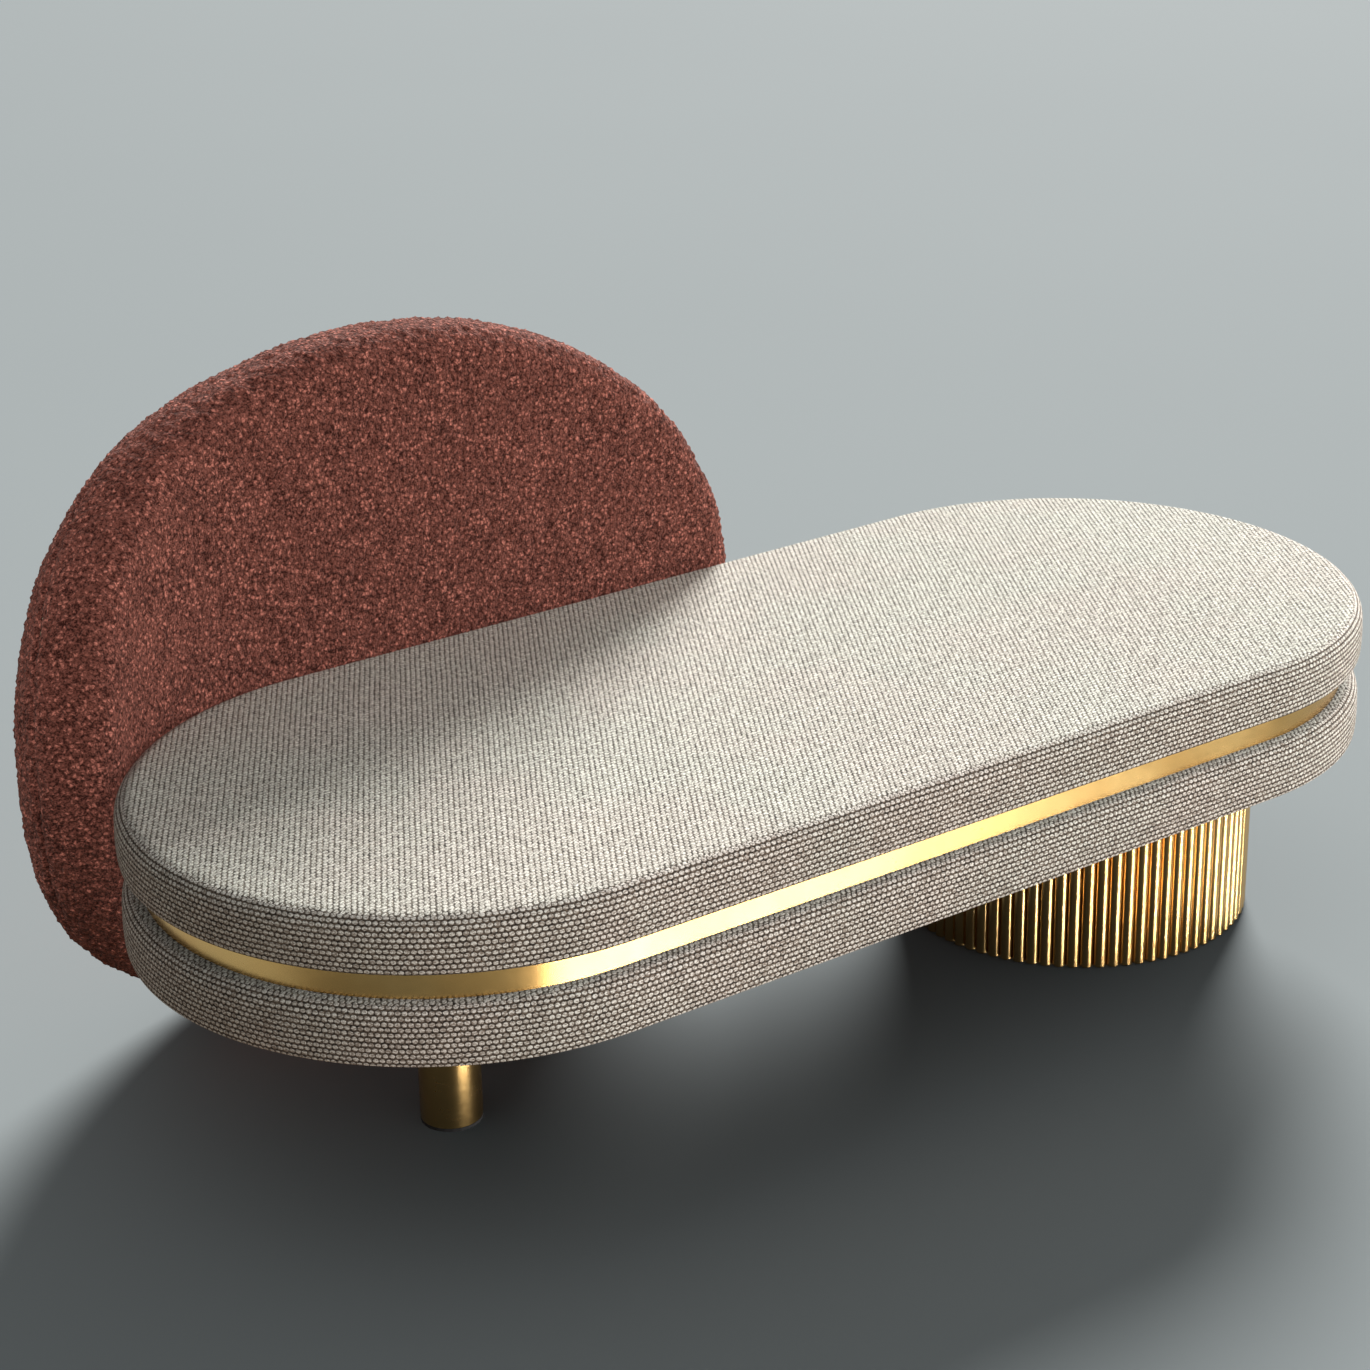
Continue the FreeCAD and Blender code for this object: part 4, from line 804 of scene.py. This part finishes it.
# %% A flat board with a soft rim
BACK_GAP = 0.001
BACK_THICK = 0.1335
BACK_HALF_LONG, BACK_HALF_HIGH = 0.536, 0.443
BACK_MIDDLE = Vector((0.173, 0.0, 0.414))
FRONT_ROUND, FRONT_STEPS = 0.034, 8
REAR_ROUND, REAR_STEPS = 0.071, 12
OUTLINE_STEPS = 288
BACK_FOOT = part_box("back_rear_cover")[0].z


def quarter_round(radius, steps, face, side):
    """Insets and depths from a face out to the rim. Side is 1 for the inner face and -1 for the rear one."""
    angles = [math.pi / 2 * step / steps for step in range(steps + 1)]
    return [(radius * (1 - math.sin(angle)), face + side * radius * (1 - math.cos(angle))) for angle in angles]


def flat_board():
    rows = quarter_round(FRONT_ROUND, FRONT_STEPS, BACK_GAP, 1)
    rows += quarter_round(REAR_ROUND, REAR_STEPS, BACK_GAP + BACK_THICK, -1)[::-1]
    inset, depth = rows[0]
    board = begin(
        "back_board", bpy.ops.mesh.primitive_circle_add, vertices=OUTLINE_STEPS, radius=1.0, fill_type="NGON",
        location=(0, 0, 0), rotation=(math.pi / 2, 0, 0),
    )
    bpy.ops.object.mode_set(mode="EDIT")
    bpy.ops.mesh.select_all(action="SELECT")
    bpy.ops.transform.resize(value=(BACK_HALF_LONG - inset, 1, BACK_HALF_HIGH - inset), center_override=(0, 0, 0))
    bpy.ops.transform.translate(value=BACK_MIDDLE + Vector((0, depth, 0)))
    for next_inset, next_depth in rows[1:]:
        bpy.ops.mesh.extrude_region_move(TRANSFORM_OT_translate={"value": (0, next_depth - depth, 0)})
        longer = (BACK_HALF_LONG - next_inset) / (BACK_HALF_LONG - inset)
        higher = (BACK_HALF_HIGH - next_inset) / (BACK_HALF_HIGH - inset)
        bpy.ops.transform.resize(value=(longer, 1, higher), center_override=BACK_MIDDLE)
        inset, depth = next_inset, next_depth
    bpy.ops.mesh.select_all(action="SELECT")
    bpy.ops.mesh.bisect(plane_co=(0, 0, BACK_FOOT), plane_no=(0, 0, 1), clear_inner=True, use_fill=True)
    bpy.ops.mesh.select_all(action="SELECT")
    bpy.ops.mesh.normals_make_consistent(inside=False)
    bpy.ops.object.mode_set(mode="OBJECT")
    return board


board = flat_board()
tell(board)

# %% [markdown]
# A voxel remesh gives the board an even net of small faces, which can be bent and displaced without long thin
# triangles, and a subdivision makes it finer. The boucle is stretched over hard foam and has no folds, so no cloth
# simulation is needed.

# %% An even net
BOARD_VOXEL = 0.0075
apply_modifier(board, "REMESH", mode="VOXEL", voxel_size=BOARD_VOXEL)
apply_modifier(board, "SUBSURF", levels=1, render_levels=1)
tell(board)

# %% [markdown]
# The cover is sewn from a front and a rear part. Near the seam the cloth dips inwards, so that the two parts meet in
# a furrow. The board is copied, and each copy is cut by a plane at the seam, with the cut closed. The closing face is
# cut into upright strips, because one wide face can't bend: it would go straight across the curve.

# %% Front and rear parts
BACK_SEAM = 0.093
FURROW_HALF_WIDE, FURROW_DEEP = 0.007, 0.003
RIM_STARTS = 0.8
CAP_STRIPS = 14
CAP_WITHIN = 2e-4


def draw_in_at_seam(piece):
    """Pull the rim inwards in the last few millimetres before the seam, and leave the broad faces alone."""
    places = corners_of(piece)
    from_middle = (places - np.array(BACK_MIDDLE)) * (1, 0, 1)
    rim = np.hypot(from_middle[:, 0] / BACK_HALF_LONG, from_middle[:, 2] / BACK_HALF_HIGH)
    near = np.clip(1 - abs(places[:, 1] - BACK_SEAM) / FURROW_HALF_WIDE, 0, 1)
    away = from_middle / np.linalg.norm(from_middle, axis=1)[:, None].clip(SAME_PLACE)
    places -= away * (near * near * FURROW_DEEP * (rim > RIM_STARTS))[:, None]
    move_corners(piece, places)


def cut_at_seam(piece, keep_front):
    """Keep one side of the seam's plane, and cut the closing face into strips as far as the start of the bend."""
    take(piece, "EDIT")
    bpy.ops.mesh.select_all(action="SELECT")
    bpy.ops.mesh.bisect(
        plane_co=(0, BACK_SEAM, 0), plane_no=(0, 1, 0), clear_inner=not keep_front, clear_outer=keep_front,
        use_fill=True,
    )
    left_end = BACK_MIDDLE.x - BACK_HALF_LONG
    for step in range(1, CAP_STRIPS):
        pick("FACE", lambda spot: abs(spot.y - BACK_SEAM) < CAP_WITHIN)
        bpy.ops.mesh.bisect(plane_co=(left_end * step / CAP_STRIPS, 0, 0), plane_no=(1, 0, 0))
    bpy.ops.object.mode_set(mode="OBJECT")


draw_in_at_seam(board)
take(board)
bpy.ops.object.duplicate()
back_rear = bpy.context.object
back_rear.name = "back_rear_boucle"
back_front = board
back_front.name = "back_front_boucle"
cut_at_seam(back_front, True)
cut_at_seam(back_rear, False)
tell(back_front)
tell(back_rear)

# %% [markdown]
# Simple Deform bends a piece round an upright axis. Its limits leave the right part flat: only what lies to the left
# of the start of the bend is turned, by its length divided by the radius of the pad's end. The bent piece then moves
# to its place behind the seat.

# %% Bent round the end
def bend_round_end(piece):
    places = corners_of(piece)
    least, most = places[:, 0].min(), places[:, 0].max()
    apply_modifier(
        piece, "SIMPLE_DEFORM", deform_method="BEND", deform_axis="Z",
        angle=-abs(least) / PAD_RADIUS, limits=(0.0, abs(least) / (most - least)),
    )
    take(piece, "EDIT")
    bpy.ops.mesh.select_all(action="SELECT")
    bpy.ops.transform.translate(value=(-HALF_STRAIGHT, PAD_MIDDLE_Y + PAD_RADIUS, 0))
    bpy.ops.object.mode_set(mode="OBJECT")


for piece in (back_front, back_rear):
    bend_round_end(piece)
    tell(piece)

# %% [markdown]
# Boucle yarn stands up in loops. The larger ones are real shape, because they break up the outline: a Displace
# modifier moves the surface along its normals, first by soft lumps and then by cells for the loops. Both fade out
# near the foot, which stands on the plinth. The fine curls are left to the finish.

# %% Loops of the boucle
LUMP_WIDE, LUMP_HIGH = 0.06, 0.004
LOOP_WIDE, LOOP_HIGH = 0.0085, 0.0055
FOOT_FADE = 0.006


def relief_texture(name, kind, size):
    texture = bpy.data.textures.new(name, kind)
    texture.noise_scale = size
    return texture


loops = relief_texture("loops", "VORONOI", LOOP_WIDE)
lumps = relief_texture("lumps", "CLOUDS", LUMP_WIDE)


def raise_loops(piece):
    """Raise lumps and loops. Cells are darkest in their middles, so their strength is negative."""
    group = piece.vertex_groups.new(name="loose")
    for corner in piece.data.vertices:
        weight = (corner.co.z - BACK_FOOT) / FOOT_FADE
        group.add([corner.index], min(max(weight, 0.0), 1.0), "REPLACE")
    for texture, strength, middle in ((lumps, LUMP_HIGH, 0.5), (loops, -LOOP_HIGH, 0.75)):
        apply_modifier(
            piece, "DISPLACE", texture=texture, texture_coords="LOCAL", strength=strength, mid_level=middle,
            vertex_group="loose",
        )


for piece in (back_front, back_rear):
    raise_loops(piece)
    bpy.ops.object.shade_smooth()
    tell(piece)

# %% [markdown]
# The boucle's colour runs from dark red brown between the loops to salmon on their tops. The dark red brown is painted
# shade, and the salmon is partly painted highlight: each curl is a cell with its own brightness, domed by its distance
# from the cell's middle, so that it is painted lightest in the middle and shaded towards its edge. Noise warps the
# cells, so that they read as curls and not as pebbles, and a finer noise is the fuzz of the yarn. Where cloth curves
# away, sheen adds a soft rim.

# %% Boucle finish
CURLS_IN_METRE = 185.0
WARP = 0.006


def boucle_finish():
    finish = Finish(
        "boucle", Roughness=0.95, Sheen_Weight=0.12, Sheen_Roughness=0.45, Sheen_Tint=(1.0, 0.66, 0.58),
        Specular_IOR_Level=0.12,
    )
    place = finish.place()
    warp = finish.start.node("ShaderNodeTexNoise", None, {"Vector": place, "Scale": 240.0, "Detail": 1.0}, "Color")
    curled = place.shifted(warp.stretched(WARP, WARP, WARP))
    dome = 1 - curled.cells(CURLS_IN_METRE).smooth(0.1, 0.8)
    own = curled.cells(CURLS_IN_METRE, give="Color").parts()[0]
    fuzz = place.noise(420.0, 2.0).smooth(0.3, 0.7)
    patches = place.noise(22.0, 3.0).smooth(0.3, 0.7)
    # Painted light and tone: the dome paints each curl lightest in its middle and shades it towards its edge, on top of
    # its own brightness, the fuzz and the patches.
    curl_light_and_tone = dome * (0.3 + 0.6 * own ** 1.6) + fuzz * 0.3 + (patches - 0.5) * 0.07
    # The gap colour is painted shade between the loops; salmon, on the highest values, is partly painted highlight.
    gaps = shade(54, 24, 19)
    body = shade(130, 77, 66)
    salmon = shade(210, 132, 115)
    low = curl_light_and_tone.smooth(0.0, 0.42).blend(gaps, body)
    finish.feed(Base_Color=curl_light_and_tone.smooth(0.42, 1.0).blend(low, salmon), Normal=(dome + fuzz * 0.35).bump(0.0022))
    return finish


boucle = boucle_finish()
for piece, node in ((back_front, "back_front_cover"), (back_rear, "back_rear_cover")):
    wear(piece, boucle)
    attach(piece, "root")
    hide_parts(node)
print(boucle.name, len(boucle.material.node_tree.nodes), "nodes")

# %% [markdown]
# ## Finishes of the hidden parts
# The boards, rails and fittings are seldom seen, but each gets a finish that shows what it is made of. Plywood has
# plies 2.6 mm thick on its edges and long grain on its faces, and the way a face points tells the two apart. Timber
# has growth rings stretched along the rail, with fine pores.

# %% Wood
PLY_THICK = 0.0026


def plywood_finish():
    finish = Finish("plywood", Roughness=0.6, Specular_IOR_Level=0.3)
    place = finish.place()
    up_share = abs(finish.facing().parts()[2]) > 0.7
    grain = place.stretched(3.0, 55.0, 55.0).noise(1.0, 4.0, 0.6)
    face = grain.smooth(0.3, 0.75).blend(shade(222, 196, 158), shade(196, 160, 115))
    plies = (place.parts()[2] / PLY_THICK % 1) > 0.5
    ends = plies.blend(shade(206, 172, 128), shade(158, 118, 78))
    finish.feed(Base_Color=up_share.blend(ends, face), Normal=grain.bump(0.0002))
    return finish


def timber_finish():
    finish = Finish("timber", Roughness=0.55, Specular_IOR_Level=0.3)
    place = finish.place()
    rings = place.stretched(2.0, 30.0, 60.0).noise(1.0, 4.0, 0.65)
    pores = place.stretched(60.0, 900.0, 900.0).noise(1.0, 2.0)
    colour = rings.smooth(0.3, 0.7).blend(shade(203, 165, 118), shade(160, 117, 76))
    finish.feed(Base_Color=(pores * 0.35 + 0.8).tinting(colour), Normal=(rings + pores * 0.5).bump(0.0002))
    return finish


def black_wood_finish():
    finish = Finish("black_paint", Roughness=0.5)
    grain = finish.place().stretched(4.0, 70.0, 70.0).noise(1.0, 3.0)
    finish.feed(Base_Color=grain.blend(shade(30, 27, 25), shade(52, 47, 44)), Normal=grain.bump(0.0002))
    return finish


# %% [markdown]
# Foam is full of open pores, so it is a bump of small cells. Lining cloth is felted and pressed with even dots, which
# are cells set nearly in rows. Pressed felt is plain short fibres.

# %% Foam, felt and cloth
def foam_finish():
    finish = Finish("foam", Roughness=0.95, Specular_IOR_Level=0.1)
    place = finish.place()
    pores = place.cells(700.0)
    patches = place.noise(8.0, 2.0)
    # The pore middles are painted a darker yellow, as the shade inside the open pores.
    colour = pores.smooth(0.1, 0.6).blend(shade(196, 182, 132), shade(238, 229, 196))
    finish.feed(Base_Color=(patches * 0.3 + 0.85).tinting(colour), Normal=pores.bump(0.0006))
    return finish


def lining_finish():
    finish = Finish("lining_cloth", Roughness=0.9, Specular_IOR_Level=0.15)
    place = finish.place()
    dots = place.cells(320.0, randomness=0.15)
    fibres = place.noise(900.0, 2.0)
    colour = (dots.smooth(0.25, 0.4) * 0.6 + fibres * 0.4).blend(shade(22, 22, 23), shade(50, 50, 52))
    finish.feed(Base_Color=colour, Normal=dots.bump(0.0002))
    return finish


def felt_finish():
    finish = Finish("felt", Roughness=1.0, Sheen_Weight=0.3, Specular_IOR_Level=0.1)
    fibres = finish.place().noise(900.0, 4.0, 0.7)
    finish.feed(Base_Color=fibres.blend(shade(70, 66, 62), shade(118, 112, 106)), Normal=fibres.bump(0.0005))
    return finish


# %% [markdown]
# Zinc shows its crystals as flat patches of a slightly different grey. Powder coat and moulded nylon are a fine grain.

# %% Steel and nylon
def zinc_finish():
    finish = Finish("zinc_steel", Metallic=1.0)
    spangle = finish.place().cells(260.0, give="Color").parts()[0]
    colour = spangle.blend(shade(176, 178, 180), shade(212, 213, 212))
    finish.feed(Base_Color=colour, Roughness=0.3 + spangle * 0.18)
    return finish


def grainy_finish(name, dark, light, shine, scale, detail, rough, rougher, depth):
    """An even grain of two shades, rougher where it is light."""
    finish = Finish(name, Specular_IOR_Level=shine)
    grain = finish.place().noise(scale, detail)
    finish.feed(Base_Color=grain.blend(dark, light), Roughness=rough + grain * rougher, Normal=grain.bump(depth))
    return finish


black_steel = grainy_finish(
    "black_steel", shade(24, 24, 25), shade(44, 44, 46), shine=0.45, scale=1100.0, detail=2.0, rough=0.42,
    rougher=0.2, depth=0.00015,
)
black_nylon = grainy_finish(
    "black_nylon", shade(34, 34, 35), shade(52, 52, 53), shine=0.4, scale=1500.0, detail=3.0, rough=0.5,
    rougher=0.15, depth=0.0001,
)
# %% [markdown]
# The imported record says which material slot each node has. Every finish is named after its slot, so one loop
# dresses them all.

# %% Dress the CAD nodes
finishes = (
    woven, boucle, foam_finish(), lining_finish(), felt_finish(), plywood_finish(), timber_finish(), satin_brass,
    fluted_brass, black_steel, zinc_finish(), black_wood_finish(), black_nylon,
)
finish_of_slot = {finish.name: finish for finish in finishes}
for part in frame["record"]["subparts"]:
    node = frame["nodes"][part["node"]]
    wear(node, finish_of_slot[part["material_slot"]])

# %% [markdown]
# ## The studio
# The floor is a plain pale grey sheet that reaches far behind the object, with a very faint cloudiness.

# %% Floor
floor = begin("floor", bpy.ops.mesh.primitive_plane_add, size=120.0, location=(0, 0, 0))
paper = Finish("floor_paper", Roughness=0.9, Specular_IOR_Level=0.1)
haze = paper.place().noise(0.6, 2.0)
paper.feed(Base_Color=haze.blend((0.372, 0.413, 0.424), (0.385, 0.428, 0.438)))
wear(floor, paper)
floor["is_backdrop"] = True
print("floor", tuple(round(value, 1) for value in floor.dimensions), "m")

# %% [markdown]
# A wide, soft sun stands behind to the right and above, so the backrest's shadow falls over the seat and the floor in
# front. Softboxes at the front and the right light the pads, two more open up the boucle, and a card below the front
# draws the bright line on the brass. Each stands in a direction given as seen from the seat.

# %% Lights
AIM = Vector((0, 0, 0.35))


def add_light(name, kind, direction, distance, **settings):
    """A light that shines along a line towards the seat, and isn't seen by the camera."""
    data = bpy.data.lights.new(name, kind)
    for setting, value in settings.items():
        setattr(data, setting, value)
    light = bpy.data.objects.new(name, data)
    towards = Vector(direction).normalized()
    light.location = AIM + towards * distance
    light.rotation_euler = (-towards).to_track_quat("-Z", "Y").to_euler()
    bpy.context.scene.collection.objects.link(light)
    light.visible_camera = False
    return light


def add_panel(name, direction, energy, wide, high, color, distance=7.0):
    """A softbox: a rectangle that glows."""
    return add_light(
        name, "AREA", direction, distance, energy=energy, shape="RECTANGLE", size=wide, size_y=high, color=color
    )


add_light("main_light", "SUN", (0.657, 0.613, 0.438), 10, energy=5.6, angle=math.radians(22), color=(1.0, 0.985, 0.965))
front_softbox = add_panel("front_softbox", (0.42, -0.87, 0.2), 390, 5.6, 3.6, (1.0, 0.98, 0.96))
low_softbox = add_panel("low_softbox", (0.72, -0.66, -0.12), 285, 4.2, 3.6, (1.0, 0.98, 0.96))
right_softbox = add_panel("right_softbox", (0.97, -0.2, 0.13), 270, 3.5, 2.4, (1.0, 0.97, 0.94))
left_softbox = add_panel("left_softbox", (-0.58, -0.3, 0.74), 220, 3.0, 3.0, (1.0, 0.97, 0.95))
brass_card = add_panel("brass_card", (0.285, -0.845, -0.455), 260, 4.9, 3.2, (1.0, 0.985, 0.96), 7.85)

# %% [markdown]
# Light linking keeps all but the sun off the floor, as a photographer's flags would. The front softbox lights the
# pads, the low and left ones light the boucle, and the right one lights both. The card is for the brass alone. The
# band looks past the lower pad's edge at the card, so the card is sampled as a light only, and never met by a
# reflected ray. The floor sends no light back up, which keeps the pads' left round end as dark as in the photo, and
# the brass throws no glints on the cloth.

# %% Flags
def light_only(light, pieces):
    """The light reaches these pieces, and only they stand in its way."""
    lit = bpy.data.collections.new(f"lit_by_{light.name}")
    for piece in pieces:
        lit.objects.link(piece)
    light.light_linking.receiver_collection = lit
    light.light_linking.blocker_collection = lit


brass = [band, drum, leg]
boucle_pieces = [back_front, back_rear]
not_brass = [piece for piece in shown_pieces() if piece not in brass]
light_only(front_softbox, [piece for piece in not_brass if piece not in boucle_pieces])
light_only(low_softbox, boucle_pieces)
light_only(right_softbox, not_brass)
light_only(left_softbox, boucle_pieces)
light_only(brass_card, brass)
brass_card.data.cycles.use_multiple_importance_sampling = False
floor.visible_diffuse = False
bpy.context.scene.cycles.caustics_reflective = False
print(len(not_brass), "pieces lit by the softboxes,", len(brass), "by the card")

# %% [markdown]
# A dim, even sky fills the shadows, warm and darker below the horizon. The camera sees a paler one in its place, the
# colour of the floor in the distance, so that the floor's far edge doesn't show.

# %% Sky
world = bpy.data.worlds.new("studio")
world.use_nodes = True
world.node_tree.nodes.clear()
air = Wire(world.node_tree)
seen = air.node("ShaderNodeLightPath", None, None, "Is Camera Ray")
above = air.node("ShaderNodeTexCoord", None, None, "Generated").parts()[2].smooth(-0.15, 0.15)
fill = above.blend((0.16, 0.11, 0.07), (0.228, 0.232, 0.232))
dim = air.node("ShaderNodeBackground", None, {"Color": fill})
pale = air.node("ShaderNodeBackground", None, {"Color": (0.434, 0.485, 0.497)})
mixed = air.node("ShaderNodeMixShader", None, {0: seen, 1: dim, 2: pale})
air.node("ShaderNodeOutputWorld", None, {"Surface": mixed})
bpy.context.scene.world = world
print("sky", world.name, len(world.node_tree.nodes), "nodes")

# %% [markdown]
# ## The end
# Nothing is left selected. Fabric may stand a little proud of the CAD model, but no more.

# %% The end
deselect_all()
